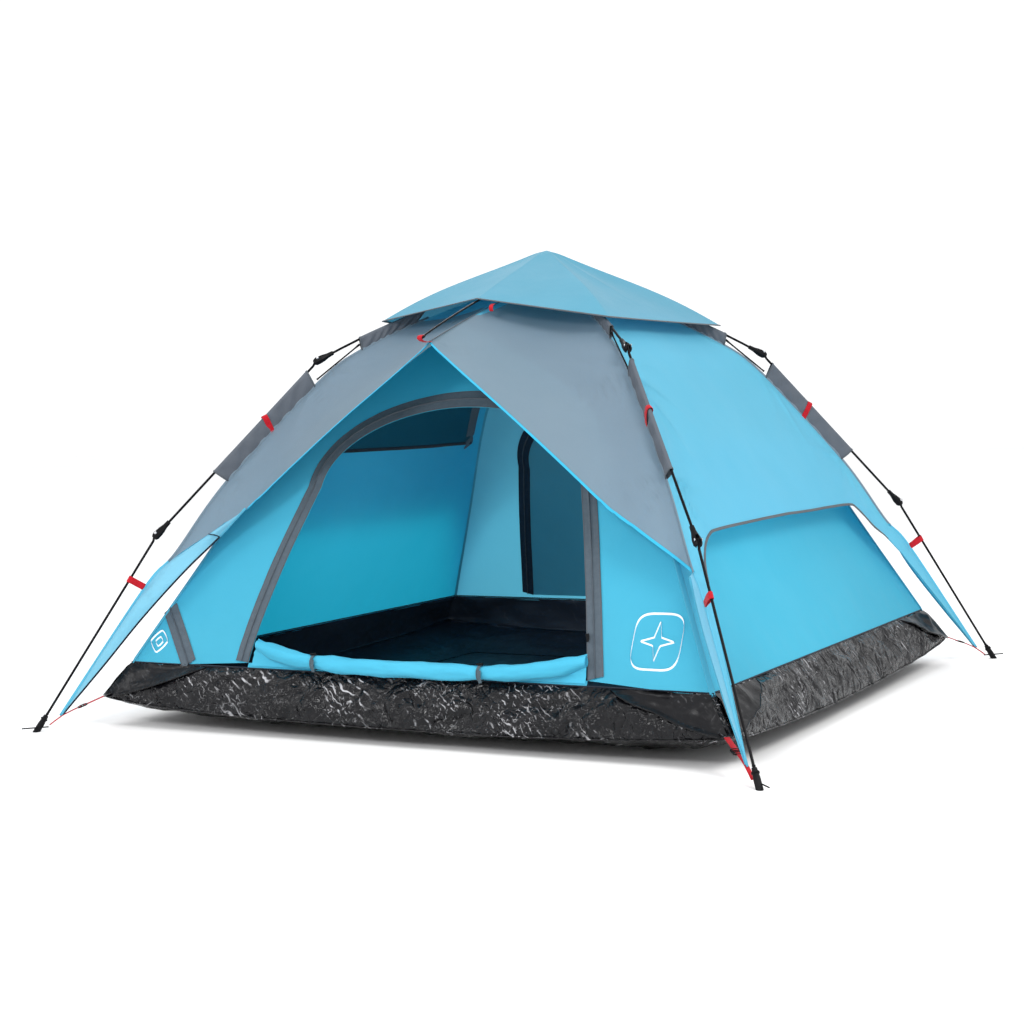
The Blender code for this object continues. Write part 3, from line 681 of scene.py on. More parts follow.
def awning_edge_point(x):
    """Lower edge of the awning's grey part, at a distance from its middle."""
    radius = radius_at(FLY_CURVE, GREY_END)
    rows = [Vector(p) for p in AWNING_EDGE]
    end = Vector((radius * COS, radius * SIN, GREY_END))
    if x >= rows[-1].x:
        return rows[-1].lerp(end, (x - rows[-1].x) / (end.x - rows[-1].x))
    for low, high in zip(rows, rows[1:]):
        if x <= high.x:
            return low.lerp(high, (x - low.x) / (high.x - low.x))
    return rows[-1]


def trimmed(curve, bottom):
    kept = [p for p in curve if p[1] > bottom]
    return kept + [Vector((radius_at(curve, bottom), bottom))]


GREY_SEAM = trimmed(FLY_CURVE, GREY_END)


def at_share(path, share):
    """Point at a share of a finely sampled path's length."""
    place = min(max(share, 0.0), 1.0) * (len(path) - 1)
    index = min(int(place), len(path) - 2)
    return path[index].lerp(path[index + 1], place - index)


GREY_SEAM_EVEN = resample([Vector((p[0], p[1], 0.0)) for p in GREY_SEAM], 0.008)
RIDGE_EVEN = resample([Vector((p[0], p[1], 0.0)) for p in sampled(AWNING_RIDGE, 60)], 0.004)


def awning_creases(point, u):
    edge = smooth(0.0, 0.05, 1.0 - u) * smooth(0.0, 0.03, u)
    depth = 0.0070 * bumps(point, 2.3, 1.0) + 0.0018 * bumps(point, 8.0, 5.0)
    depth += folds(point, (0.0, 0.745, 1.095), 7, 0.34, 0.0065, 0.7)
    for place, phase in (((0.745, 0.993), 1.1), ((1.03, 0.706), 0.2)):
        depth += folds(point, quarter_point(place), 10, 0.40, 0.0085, phase)
    return depth * edge


def awning_point(u, v):
    """Point of an awning half: u from the ridge to the leg's seam, v from the hub to the lower edge."""
    ridge = at_share(RIDGE_EVEN, v)
    seam = at_share(GREY_SEAM_EVEN, v)
    top = Vector((0.0, ridge.x, ridge.y))
    low = quarter_point(seam)
    point = top.lerp(low, u)
    end = at_share(GREY_SEAM_EVEN, 1.0)
    straight = Vector((0.0, AWNING_RIDGE[-1][0], AWNING_RIDGE[-1][1])).lerp(
        quarter_point(end), u)
    point += (awning_edge_point(u * end.x * COS) - straight) * v ** 4
    point.z -= 0.016 * math.sin(math.pi * u) * math.sin(math.pi * v)
    normal = Vector((0.35, 0.55, 0.76))
    return point + normal * awning_creases(point, u)


def facing(point, side, forward):
    """The same point in the half with x of one sign and y of another."""
    return Vector((point.x * side, point.y * forward, point.z))


def build_awning(word, forward, cad_node):
    made = {}
    layers = (("top", "blue_fly", 24, "fabric_blue"), ("awning", "grey_fly", 58, "fabric_grey"))
    for part, material, rows, slot in layers:
        def place(u, v, part=part):
            signed = 2.0 * u - 1.0
            start = mix(BLUE_TOP[0], BLUE_TOP[1], smooth(0.0, 0.32 if signed < 0.0 else 0.09, abs(signed)))
            share = v * start if part == "top" else mix(start, 1.0, v)
            return facing(awning_point(abs(signed), share), math.copysign(1.0, signed), forward)

        item, grid = cloth("fly_%s_%s" % (word, part), rows, 121, place, material)
        canopy(item, [cad_node])
        made[part] = (item, grid)
    awning, grid = made["awning"]
    lower, above = grid[-1], grid[-2]
    for side, word_side in ((-1.0, "left"), (1.0, "right")):
        tucked = side > 0
        build_wing("fly_%s_wing_%s" % (word, word_side), side, forward, tucked)
        reach = 1e9 if tucked else AWNING_EDGE[-1][0] + 0.004
        kept = [i for i, p in enumerate(lower) if 0.0 <= p.x * side <= reach]
        edge = [lower[i] for i in kept]
        inner = [above[i] for i in kept]
        piece = hem("fly_%s_hem_%s" % (word, word_side), edge, inner, 0.0085, 0.0030, "hem_cyan")
        canopy(piece)
    ridge = [facing(Vector((0.0, p.x, p.y + 0.0015)), 1.0, forward) for p in RIDGE_EVEN[::6]]
    seam = strap("fly_%s_ridge_seam" % word, ridge, 0.0035, 0.0016, "hem_grey", X_AXIS)
    canopy(seam)


def wing_hem_path(tucked):
    """Free edge of a front wing, down to the strap."""
    path = [] if tucked else [Vector(AWNING_EDGE[-1]), Vector(WING_CORNER)]
    for height, inward, toward in TUCKED_WING if tucked else SPREAD_WING:
        path.append(leg_point(WING_AZIMUTH, (radius_at(FLY_CURVE, height) - inward, height), toward))
    return path


def wing_seam_point(share):
    return leg_point(WING_AZIMUTH, seam_place(mix(GREY_END, FLY_TAIL, share)))


def build_wing(name, side, forward, tucked):
    """Blue band between the awning, the leg's seam and the free edge."""
    rows = 80
    hem_path = resample(sampled(wing_hem_path(tucked), 200), 0.004)

    def place(u, v):
        start = wing_seam_point(v)
        end = at_share(hem_path, v)
        point = start.lerp(end, u)
        belly = math.sin(math.pi * u) * math.sin(math.pi * min(v * 1.15, 1.0)) * (0.3 if tucked else 1.0)
        point += Vector((0.010, 0.020, 0.0)) * belly
        depth = 0.0040 * bumps(point, 6.0, 3.0) + folds(point, wing_seam_point(0.16), 8, 0.26, 0.0050, 0.3)
        depth += 0.0030 * math.sin(u * 9.0 + 2.0 * bumps(point, 5.0, 8.0)) * smooth(0.9, 0.1, v)
        depth *= smooth(0.0, 0.2, u) * smooth(0.0, 0.2, 1.0 - u) * smooth(0.0, 0.1, v)
        return facing(point + Vector((0.4, 0.7, 0.4)) * depth, side, forward)

    item, grid = cloth(name, rows, 15, place, "blue_fly" if tucked and forward > 0 else "blue_wing")
    canopy(item)
    edge, inner = column(grid, -1), column(grid, -2)
    reach = (Vector(WING_CORNER) - Vector(AWNING_EDGE[-1])).length
    total = sum((b - a).length for a, b in zip(edge, edge[1:]))
    corner = 0 if tucked else round(reach / total * (rows - 1))
    look = "hem_blue" if tucked else "binding_dark"
    pieces = [hem(name + "_hem", edge[corner:], inner[corner:], 0.0055, 0.0026, look)]
    canopy(pieces[0])
    if not tucked:
        upper = hem(name + "_upper_hem", edge[:corner + 1], inner[:corner + 1], 0.007, 0.0026, "blue_fly")
        pieces.append(canopy(upper))
        dart = []
        for i in range(13):
            t = i / 12
            spot = place(mix(1.0, 0.52, t), mix(corner / (rows - 1), 0.0, t))
            dart.append(spot + Vector((0.0, 0.0022 * forward, 0.0012)))
        pieces.append(tube(name + "_dart", dart, 0.0016, "binding_dark", 6))
        canopy(pieces[-1])


def build_leg_seams():
    """The sewn seam down each leg, from under the cap to the strap."""
    spans = (("upper", LEG_SEAM_TOP, GREY_END, "grey_fly", "fabric_grey"),
             ("lower", GREY_END, FLY_TAIL, "blue_fly", "fabric_blue"))
    for corner in CORNERS:
        outward, sideways = leg_axes(AZIMUTH[corner])
        for word, top, bottom, material, slot in spans:
            path = [fly_seam(corner, mix(top, bottom, i / 40)) + outward * 0.002 for i in range(41)]
            piece = strap("leg_seam_%s_%s" % (word, corner), path, 0.004, 0.009, material, sideways)
            canopy(piece)


def upper_rod_point(share):
    """Point on the sprung upper rod, in its leg's plane."""
    radius = mix(HUB_PIVOT[0], UPPER_ELBOW[0], share)
    height = mix(HUB_PIVOT[1], UPPER_ELBOW[1], share) + 4.0 * UPPER_ROD_BOW * share * (1.0 - share)
    return Vector((radius, height))


def middle_rod_point(share):
    return Vector(UPPER_ELBOW).lerp(Vector(LOWER_ELBOW), share)


def build_sleeve(name, corner, rod_places, seam_places):
    """Cloth sleeve round a rod, sewn to the fly's seam by a flat web."""
    azimuth = AZIMUTH[corner]
    round_steps = 9
    radius = ROD_RADIUS + SLEEVE_SLACK
    rows = len(rod_places)

    def place(u, v):
        index = min(int(v * (rows - 1) + 0.5), rows - 1)
        rod, seam = rod_places[index], seam_places[index]
        down = (seam - rod).normalized()
        out = Vector((-down.x, -down.y))
        span = (seam - rod).length
        total = span * 2.0 + math.pi * radius
        distance = u * total
        ripple = 0.0030 * math.sin(v * 38.0 + 5.0 * bumps((rod.x, rod.y, u * 0.1), 9.0))
        if distance < span or distance > total - span:
            reach = span - distance if distance < span else distance - (total - span)
            side = mix(radius, 0.001, (reach / span) ** 2) * (-1.0 if distance < span else 1.0)
            side += ripple * math.sin(math.pi * reach / span)
            spot = rod + down * reach
        else:
            angle = (distance - span) / radius
            side = -radius * math.cos(angle)
            spot = rod + out * (radius * math.sin(angle))
        return leg_point(azimuth, (spot.x, spot.y), side)

    item, grid = cloth(name, rows, 2 * 8 + round_steps, place, "grey_sleeve")
    for word, row, inner in (("top", 0, 1), ("bottom", -1, -2)):
        edge = hem("%s_%s_hem" % (name, word), grid[row], grid[inner], 0.006, 0.0022, "hem_grey")
        canopy(edge)
    return canopy(item)


# Sleeves: word, rows, rod, span along the rod, heights on the fly's seam, estimated length, rod's name.
SLEEVES = (("upper", 30, upper_rod_point, (0.50, 0.812), (1.172, 1.092), 0.24, "upper_rod_"),
           ("lower", 44, middle_rod_point, (0.068, 0.648), (0.986, 0.708), 0.41, "middle_rod_"))


def build_sleeves():
    for corner in CORNERS:
        for word, rows, rod_point, rod_span, seam_span, length, rod in SLEEVES:
            shares = [i / (rows - 1) for i in range(rows)]
            rods = [rod_point(mix(*rod_span, share)) for share in shares]
            seams = [seam_place(mix(*seam_span, share)) for share in shares]
            item = build_sleeve("%s_sleeve_%s" % (word, corner), corner, rods, seams)


def build_loop(name, corner, rod, fabric, radius, width):
    """Red webbing band that wraps a rod and runs back to the fly."""
    azimuth = AZIMUTH[corner]
    rod = Vector(rod)
    fabric = Vector(fabric)
    down = (fabric - rod).normalized()
    out = -down
    reach = (fabric - rod).length
    path = []
    for i in range(9):
        spot = rod + down * mix(reach, 0.0, i / 8)
        path.append((spot, -mix(0.0012, radius, smooth(0.0, 0.8, i / 8))))
    for i in range(1, 12):
        angle = math.pi * i / 12
        path.append((rod + out * (radius * math.sin(angle)), -radius * math.cos(angle)))
    for i in range(9):
        spot = rod + down * mix(0.0, reach, i / 8)
        path.append((spot, mix(radius, 0.0012, smooth(0.0, 0.8, i / 8))))
    points = [leg_point(azimuth, (spot.x, spot.y), side) for spot, side in path]
    item = strap(name, points, width, 0.0014, "red_webbing", leg_point(azimuth, (-down.y, down.x)))
    return canopy(item)


def build_loops():
    for corner in CORNERS:
        build_loop("sleeve_loop_" + corner, corner, middle_rod_point(0.335), (0.884, 0.842), 0.0085, 0.018)
        build_loop("lower_loop_" + corner, corner, (1.3265, 0.4300), (1.284, 0.404), 0.0058, 0.020)


# ---------------------------------------------------------------- roof cap

def roof_hem(share, place=ROOF_CORNER):
    """Edge of a cap quadrant and its bow: from the awning strut over the leg to the side."""
    corner = quarter_point(place)
    peak = Vector((0.0, ROOF_PEAK[0], ROOF_PEAK[1]))
    side = Vector((ROOF_CORNER[0] * COS - 0.006, 0.0, ROOF_CORNER[1]))
    if share <= 0.5:
        t = share * 2.0
        return peak.lerp(corner, t), mix(0.0, ROOF_BOW, t)
    t = share * 2.0 - 1.0
    return corner.lerp(side, t), mix(ROOF_BOW, 0.0, t)


def roof_point(share, t, place=ROOF_CORNER):
    edge, bow = roof_hem(share, place)
    point = Vector((0.0, 0.0, ROOF_APEX)).lerp(edge, t)
    point.z += bow * math.sin(math.pi * t ** 1.7)
    ridge = abs(share * 2.0 - 1.0)
    between = math.sin(math.pi * (share * 2.0 % 1.0))
    sag = 0.004 if share < 0.5 else 0.012
    point.z -= sag * between * math.sin(math.pi * min(t, 1.0)) ** 0.8
    point.z -= 0.006 * math.exp(-(t / 0.045) ** 2)
    calm = smooth(0.0, 0.10, t) * smooth(0.0, 0.12, 1.0 - t)
    crease = 0.0022 * bumps(point, 4.0, 2.0) + 0.0007 * bumps(point, 13.0, 6.0)
    crease += folds(point, roof_hem(0.5)[0], 11, 0.22, 0.0035, 0.5)
    crease += folds(point, (0.0, 0.0, ROOF_APEX), 13, 0.20, 0.0020, 1.7)
    point.z += crease * calm * smooth(0.0, 0.08, ridge + 0.02)
    return point


def build_roof():
    for corner in CORNERS:
        side = 1.0 if "right" in corner else -1.0
        forward = -1.0 if "front" in corner else 1.0
        corner_place = SLACK_ROOF_CORNER if corner == "front_left" else ROOF_CORNER

        def place(u, v, side=side, forward=forward, corner_place=corner_place):
            return facing(roof_point(u, mix(0.004, 1.0, v), corner_place), side, forward)

        item, grid = cloth("roof_cap_" + corner, 46, 73, place, "blue_cap")
        pieces = [item, hem("roof_hem_" + corner, grid[-1], grid[-2], 0.0075, 0.0024, "hem_grey")]
        corner_end = place(0.5, 1.0)
        for piece in pieces:
            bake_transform(piece)
            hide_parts("roof_cap")


# ---------------------------------------------------------------- inner tent

def wall_creases(along_wall, height, half, seed):
    point = Vector((along_wall, seed * 1.7, height))
    calm = smooth(0.0, 0.04, half - abs(along_wall)) * smooth(0.185, 0.24, height)
    depth = 0.0050 * bumps(point, 2.2, seed) + 0.0016 * bumps(point, 7.0, seed + 2.0)
    for sign in (-1.0, 1.0):
        depth += folds(point, (sign * 0.96, point.y, 0.185), 9, 0.40, 0.0060, seed + sign)
        depth += folds(point, (sign * 0.60, point.y, 0.800), 8, 0.34, 0.0050, seed - sign)
    ripple = math.sin(along_wall * 62.0 + 2.0 * bumps(point, 4.0))
    depth += 0.0016 * ripple * math.exp(-(height - TUB_RIM[2]) / 0.07)
    return depth * calm


WALLS = {
    "front": (X_AXIS, Vector((0, -1, 0)), SIN, COS, 1.0),
    "rear": (Vector((-1, 0, 0)), Vector((0, 1, 0)), SIN, COS, 2.0),
    "right": (Vector((0, 1, 0)), X_AXIS, COS, SIN, 3.0),
    "left": (Vector((0, -1, 0)), Vector((-1, 0, 0)), COS, SIN, 4.0),
}


def wall_point(wall, sideways, height, lift=0.0):
    """Point of an inner wall; sideways is to the right as seen from outside."""
    right, out, out_share, side_share, seed = WALLS[wall]
    radius = radius_at(INNER_CURVE, height)
    half = radius * side_share
    normal = out * 0.87 + Vector((0, 0, 0.49))
    middle = 1.0 - (sideways / half) ** 2
    sag = -0.012 * max(middle, 0.0) * smooth(0.19, 0.45, height) * smooth(1.15, 0.80, height)
    depth = sag + wall_creases(sideways, height, half, seed) + lift
    return right * sideways + out * (radius * out_share) + Vector((0, 0, height)) + normal * depth


def wall_half(wall, height):
    return radius_at(INNER_CURVE, height) * WALLS[wall][3]


def build_plain_wall(wall):
    def place(u, v):
        height = along(INNER_LINE, v).y
        return wall_point(wall, (2.0 * u - 1.0) * wall_half(wall, height), height)

    # The rear wall takes the lighter copy of the cloth: painted backlight.
    look = "blue_rear_painted_backlight" if wall == "rear" else "blue_inner"
    item, _ = cloth("inner_%s_wall" % wall, 80, 101, place, look)
    canopy(item, ["inner_" + wall])


def door_edge(share, spread=0.0):
    """Edge of the D-shaped door, from the sill on the curved side over the top; spread moves it outward."""
    left_x = DOOR_LEFT + DOOR_LEAN_LEFT
    right_x = DOOR_RIGHT - DOOR_LEAN_RIGHT
    if share < DOOR_SIDE:
        t = share / DOOR_SIDE
        x, z = DOOR_LEFT + DOOR_LEAN_LEFT * t * t, mix(DOOR_SILL, DOOR_SHOULDER, t)
        outward = Vector((-1.0, 0.10))
    elif share > 1.0 - DOOR_SIDE:
        t = (1.0 - share) / DOOR_SIDE
        x, z = DOOR_RIGHT - DOOR_LEAN_RIGHT * t, mix(DOOR_SILL, DOOR_SHOULDER, t)
        outward = Vector((1.0, 0.26))
    else:
        angle = math.pi * (1.0 - (share - DOOR_SIDE) / (1.0 - 2.0 * DOOR_SIDE))
        x = (left_x + right_x) / 2.0 + (right_x - left_x) / 2.0 * math.cos(angle)
        z = DOOR_SHOULDER + (DOOR_TOP - DOOR_SHOULDER) * math.sin(angle)
        outward = Vector((math.cos(angle), math.sin(angle) * 1.5 + 0.1))
    outward.normalize()
    return x + outward.x * spread, z + outward.y * spread


def wall_outline(share):
    """Edge of the front wall that faces the same share of the door's edge."""
    base = INNER_LINE[-1][1]
    top = INNER_LINE[0][1]
    shoulder = 0.860
    if share < DOOR_SIDE:
        height = mix(base, shoulder, share / DOOR_SIDE)
        return -wall_half("front", height), height
    if share > 1.0 - DOOR_SIDE:
        height = mix(base, shoulder, (1.0 - share) / DOOR_SIDE)
        return wall_half("front", height), height
    t = (share - 0.5) / (0.5 - DOOR_SIDE)
    height = mix(top, shoulder, abs(t))
    return math.copysign(wall_half("front", height), t), height


def build_front_wall():
    def place(u, v):
        outer_x, outer_z = wall_outline(u)
        inner_x, inner_z = door_edge(u)
        x, z = mix(outer_x, inner_x, v), mix(outer_z, inner_z, v)
        return wall_point("front", x, z)

    item, _ = cloth("inner_front_wall", 34, 191, place, "blue_inner")
    canopy(item, ["inner_front"])
    base = INNER_LINE[-1][1]

    def sill(u, v):
        return wall_point("front", mix(DOOR_LEFT, DOOR_RIGHT, u), mix(base, DOOR_SILL, v))

    strip, _ = cloth("inner_front_sill", 3, 81, sill, "blue_inner")
    canopy(strip)


def zip_run(name, path_at, wall, steps, lift, width=TAPE_WIDTH, look="zip_tape"):
    """Zip tape with its coil, laid on a wall along path_at(share, offset)."""
    def tape(u, v):
        x, z = path_at(v, (u - 0.5) * width)
        ridge = 0.0016 * math.exp(-((u - 0.5) / 0.09) ** 2) + 0.0008 * (1.0 if 0.06 < u < 0.94 else 0.0)
        wave = 0.0008 * bumps((x, z, u), 30.0, 2.0)
        return wall_point(wall, x, z, math.copysign(abs(lift) + ridge + wave, lift))

    item, grid = cloth(name, steps, 17, tape, look)
    canopy(item)
    coil = []
    for i in range(steps):
        x, z = path_at(i / (steps - 1), 0.0)
        coil.append(wall_point(wall, x, z, lift + math.copysign(0.0032, lift)))
    teeth = sweep(name + "_coil", resample(coil, 0.003), lambda share: flat_section(0.0052, 0.0026, 8),
                  "zip_coil", Z_AXIS)
    canopy(teeth)
    for word, outer, inner in (("outer", 0, 1), ("inner", -1, -2)):
        band = hem("%s_%s_edge" % (name, word), column(grid, outer), column(grid, inner),
                   0.0034, 0.0018, "hem_grey" if look == "zip_tape" else "binding_dark")
        canopy(band)


def build_doors():
    def front_path(share, offset):
        return door_edge(share, TAPE_WIDTH * 0.5 + 0.001 + offset)

    zip_run("door_zip", front_path, "front", 180, ZIP_LIFT)

    def rear_path(share, offset):
        return door_edge(share, TAPE_WIDTH * 0.5 + offset)

    zip_run("rear_door_zip", rear_path, "rear", 160, ZIP_LIFT)
    zip_run("rear_door_zip_inside", rear_path, "rear", 160, -0.0026, look="navy_tape")

    def panel(u, v):
        left_x, z = door_edge(v * 0.5)
        right_x, _ = door_edge(1.0 - v * 0.5)
        return wall_point("rear", mix(left_x, right_x, u), z, -0.0016)

    # The panel takes the darker copy of the cloth: painted shade for the double layer.
    item, _ = cloth("rear_door_panel", 81, 61, panel, "double_door_painted_shade")
    canopy(item)

    def port_path(share, offset):
        start, end = (Vector(place) for place in PORT_ZIP)
        spot = start.lerp(end, share)
        across = Vector((end.y - start.y, start.x - end.x)).normalized()
        return spot.x + across.x * offset, spot.y + across.y * offset

    zip_run("cable_port_zip", port_path, "front", 30, ZIP_LIFT, width=PORT_ZIP_WIDTH)


def build_vents():
    """Mesh windows high in the side walls, edged with dark tape on the inside."""
    for wall in ("left", "right"):

        def place(u, v, wall=wall):
            height = mix(VENT_TOP, VENT_BOTTOM, v)
            half = wall_half(wall, height) - VENT_MARGIN
            return wall_point(wall, (2.0 * u - 1.0) * half, height, -0.004)

        item, grid = cloth("vent_mesh_" + wall, 26, 91, place, "vent_mesh")
        canopy(item)
        for word, edge, inner in (("low", grid[-1], grid[-2]), ("high", grid[0], grid[1])):
            band = hem("vent_binding_%s_%s" % (word, wall), edge, inner, 0.013, 0.003, "binding_dark")
            canopy(band)
        for word, column, inner in (("one", 0, 1), ("two", -1, -2)):
            band = hem("vent_tape_%s_%s" % (word, wall), [row[column] for row in grid],
                       [row[inner] for row in grid], 0.052, 0.0026, "zip_tape")
            canopy(band)


def build_inner_seams():
    for corner in CORNERS:
        _, sideways = leg_axes(AZIMUTH[corner])
        path = []
        for i in range(60):
            radius, height = along(INNER_LINE, i / 59)
            path.append(leg_point(AZIMUTH[corner], (radius - 0.001, height)))
        seam = strap("inner_seam_" + corner, path, 0.015, 0.006, "hem_blue", sideways)
        canopy(seam)


# ---------------------------------------------------------------- tub floor

def crumple(point, strength=1.0):
    """Sharp creases of stiff sheet, as a height."""
    total = 0.0
    for scale, depth, seed in ((7.0, 0.0085, 1.0), (15.0, 0.0052, 5.0), (31.0, 0.0026, 11.0)):
        total += depth * (0.55 - 2.0 * abs(bumps(point, scale, seed)))
    return total * strength


def tub_side(share):
    """Corner-to-corner position round the tub: side number and share of that side."""
    place = (share % 1.0) * 4.0
    side = min(int(place), 3)
    return side, place - side


def tub_point(share, depth, lift=0.0):
    """depth 0 is the rim, 1 the lower edge, 2 where the floor lies flat."""
    side, t = tub_side(share)
    start, end = TUB_CORNERS[side], TUB_CORNERS[(side + 1) % 4]
    x, y = mix(start[0], end[0], t), mix(start[1], end[1], t)
    dip = (4.0 * t * (1.0 - t)) ** 0.6
    edge_z = mix(TUB_CORNER_Z, TUB_MIDDLE_Z, dip)
    rim = Vector((x * TUB_RIM[0], y * TUB_RIM[1], TUB_RIM[2]))
    edge = Vector((x * TUB_EDGE[0], y * TUB_EDGE[1], edge_z))
    flat = Vector((x * TUB_EDGE[0] * TUB_FLAT, y * TUB_EDGE[1] * TUB_FLAT, FLOOR_Z))
    if depth <= 1.0:
        point = rim.lerp(edge, depth)
        out = Vector(TUB_OUTWARD[side])
        belly = 0.010 * math.sin(math.pi * depth) * dip
        corner_gap = min(t, 1.0 - t)
        pleat = corner_gap / GUSSET_REACH - (1.0 - depth)
        below_rim = smooth(0.0, 0.12, depth)
        fold = 0.0130 * smooth(-0.06, 0.03, pleat) * smooth(0.9, 0.10, pleat) * smooth(1.0, 0.8, depth)
        tuck = -0.010 * smooth(0.02, -0.4, pleat) * smooth(0.0, 0.05, corner_gap) * smooth(1.0, 0.7, depth)
        calm = smooth(0.0, 0.10, depth) * (0.35 + 0.65 * smooth(1.0, 0.90, depth))
        calm *= smooth(0.0, 0.02, corner_gap)
        return point + out * (belly + (fold + tuck) * below_rim + crumple(point) * calm + lift)
    t2 = depth - 1.0
    point = edge.lerp(flat, t2)
    point.z = mix(edge.z, flat.z, 1.0 - (1.0 - t2) ** 1.7)
    lump = crumple(point, 0.8) * smooth(0.0, 0.1, t2) * smooth(1.0, 0.7, t2)
    point.z = max(point.z + lump, 0.0006) - lift
    return point


def build_gussets():
    """The folded triangles of sheet at each corner of the tub, one on either side of the corner."""
    for number, corner in enumerate(("front_left", "front_right", "rear_right", "rear_left")):
        for word, sign in (("before", -1.0), ("after", 1.0)):
            def fold(u, v, number=number, sign=sign):
                depth = mix(0.015, 0.965, v)
                gap = mix(0.0025, GUSSET_REACH * (1.0 - depth) + 0.004, u)
                lift = 0.0035 + 0.008 * smooth(0.0, 0.15, depth)
                lift += 0.003 * bumps((gap * 6.0, depth, number), 3.0, sign)
                return tub_point((number + sign * gap) / 4.0 + 1.0, depth, lift)

            name = "tub_gusset_%s_%s" % (corner, word)
            # The gussets take the darker copy of the sheet: painted shade.
            item, grid = cloth(name, 24, 22, fold, "black_fold_painted_shade")
            canopy(item)
            roll = tube(name + "_crease", column(grid, -1), 0.0022, "black_fold_painted_shade", 6)
            canopy(roll)


def build_tub():
    around = 760
    levels = [i / 20 for i in range(21)] + [1.0 + i / 12 for i in range(1, 13)]

    def place(u, v):
        return tub_point(u, levels[int(v * (len(levels) - 1) + 0.5)])

    item, grid = cloth("tub_walls", len(levels), around, place, "black_sheet")
    canopy(item, ["groundsheet"])

    def floor(u, v):
        x = (2.0 * u - 1.0) * TUB_EDGE[0] * FLOOR_REACH
        y = (2.0 * v - 1.0) * TUB_EDGE[1] * FLOOR_REACH
        inside = smooth(0.0, 0.12, 1.0 - abs(2.0 * u - 1.0)) * smooth(0.0, 0.12, 1.0 - abs(2.0 * v - 1.0))
        lift = max(0.0, crumple(Vector((x, y, 0.3)), 0.15) + 0.0020) * inside
        return Vector((x, y, FLOOR_Z + lift))

    def inside_face(u, v):
        return tub_point(u, mix(0.02, 1.98, v), -mix(0.0070, 0.0020, smooth(0.75, 1.0, v)))

    # The inside faces and the floor take the lighter, bluish copy of the sheet: painted light from the blue
    # walls.
    lining, _ = cloth("tub_lining", 34, 240, inside_face, "black_floor_painted_light")
    canopy(lining)
    middle, _ = cloth("tub_floor", 130, 130, floor, "black_floor_painted_light")
    put(middle, "canopy")
    build_gussets()
    rim = [p + Vector((0, 0, 0.001)) for p in grid[0]]
    inner = [p + Vector((-p.x * 0.02, -p.y * 0.02, 0.004)) for p in grid[0]]
    tape = hem("tub_rim_tape", rim, inner, 0.007, 0.0030, "binding_dark")
    canopy(tape)
    low_edge = tube("tub_edge_seam", grid[20], 0.0022, "black_sheet", 8)
    canopy(low_edge)


# ---------------------------------------------------------------- rolled-down door

def roll_centre(share):
    x = mix(DOOR_LEFT + 0.030, DOOR_RIGHT - 0.004, share)
    rise = 0.042 * abs(2.0 * share - 1.0) ** 3.5
    base = wall_point("front", x, 0.207 + rise)
    return base + Vector((0.0, -0.034 + 0.010 * abs(2.0 * share - 1.0) ** 4, 0.0))


def build_door_roll():
    """The door's cloth, rolled down into a loose roll along the sill and held by two ties."""
    turns = 2.6
    ties = ROLL_TIES

    def place(u, v):
        centre = roll_centre(v)
        pinch = min(abs(v - tie) for tie in ties)
        full = mix(0.72, 1.0, smooth(0.0, 0.07, pinch)) * mix(0.62, 1.0, smooth(0.0, 0.06, min(v, 1.0 - v)))
        angle = 2.0 * math.pi * turns * u
        radius = mix(0.0225, 0.0070, u ** 0.9) * full
        wander = Vector((v * 9.0, math.cos(angle) * 1.1, math.sin(angle) * 1.1 + u))
        radius *= 1.0 + 0.20 * noise.noise(wander) + 0.07 * noise.noise(wander * 3.0)
        radius *= 1.0 + 0.08 * math.sin(angle * 3.0 + 24.0 * v) * smooth(0.10, 0.0, pinch)
        y = math.cos(angle + 0.9) * radius * 0.95
        z = math.sin(angle + 0.9) * radius * 1.12
        return centre + Vector((0.0, y, z))

    roll, _ = cloth("door_roll_cloth", 210, 84, place, "blue_door")
    canopy(roll, ["door_roll"])

    def flap(u, v):
        """Cloth that still hangs from the sill, up the front of the roll's back."""
        x = mix(DOOR_LEFT + 0.012, DOOR_RIGHT - 0.004, v)
        low = wall_point("front", x, 0.192, 0.002)
        high = roll_centre(v) + Vector((0.0, 0.006, 0.020))
        spot = low.lerp(high, u)
        return spot + Vector((0.0, -0.008 * math.sin(math.pi * u) * bumps((x, u, 0.0), 9.0, 4.0), 0.0))

    tail, _ = cloth("door_flap", 90, 9, flap, "blue_door")
    canopy(tail)
    for word, share in (("left", ties[0]), ("right", ties[1])):
        centre = roll_centre(share)
        ring = []
        for i in range(33):
            angle = 2.0 * math.pi * i / 32 + 0.6
            ring.append(centre + Vector((0.0, math.cos(angle) * 0.0185, math.sin(angle) * 0.0212)))
        band = strap("door_tie_band_" + word, ring, 0.010, 0.0016, "tie_tape", X_AXIS)
        canopy(band, ["door_tie_" + word])
        top = centre + Vector((0.0, -0.004, 0.024))
        bar = [top + Vector((0.004 * i - 0.010, 0, 0.0004 * i)) for i in range(6)]
        toggle = tube("door_toggle_" + word, bar, 0.0032, "nylon_black")
        canopy(toggle)
        end = [centre + Vector((0.006, -0.019, 0.010)), centre + Vector((0.009, -0.026, -0.004)),
               centre + Vector((0.012, -0.025, -0.022))]
        loose = strap("door_tie_end_" + word, resample(end, 0.003), 0.010, 0.0014, "tie_tape", X_AXIS)
        canopy(loose)


# ---------------------------------------------------------------- corner straps and frame details

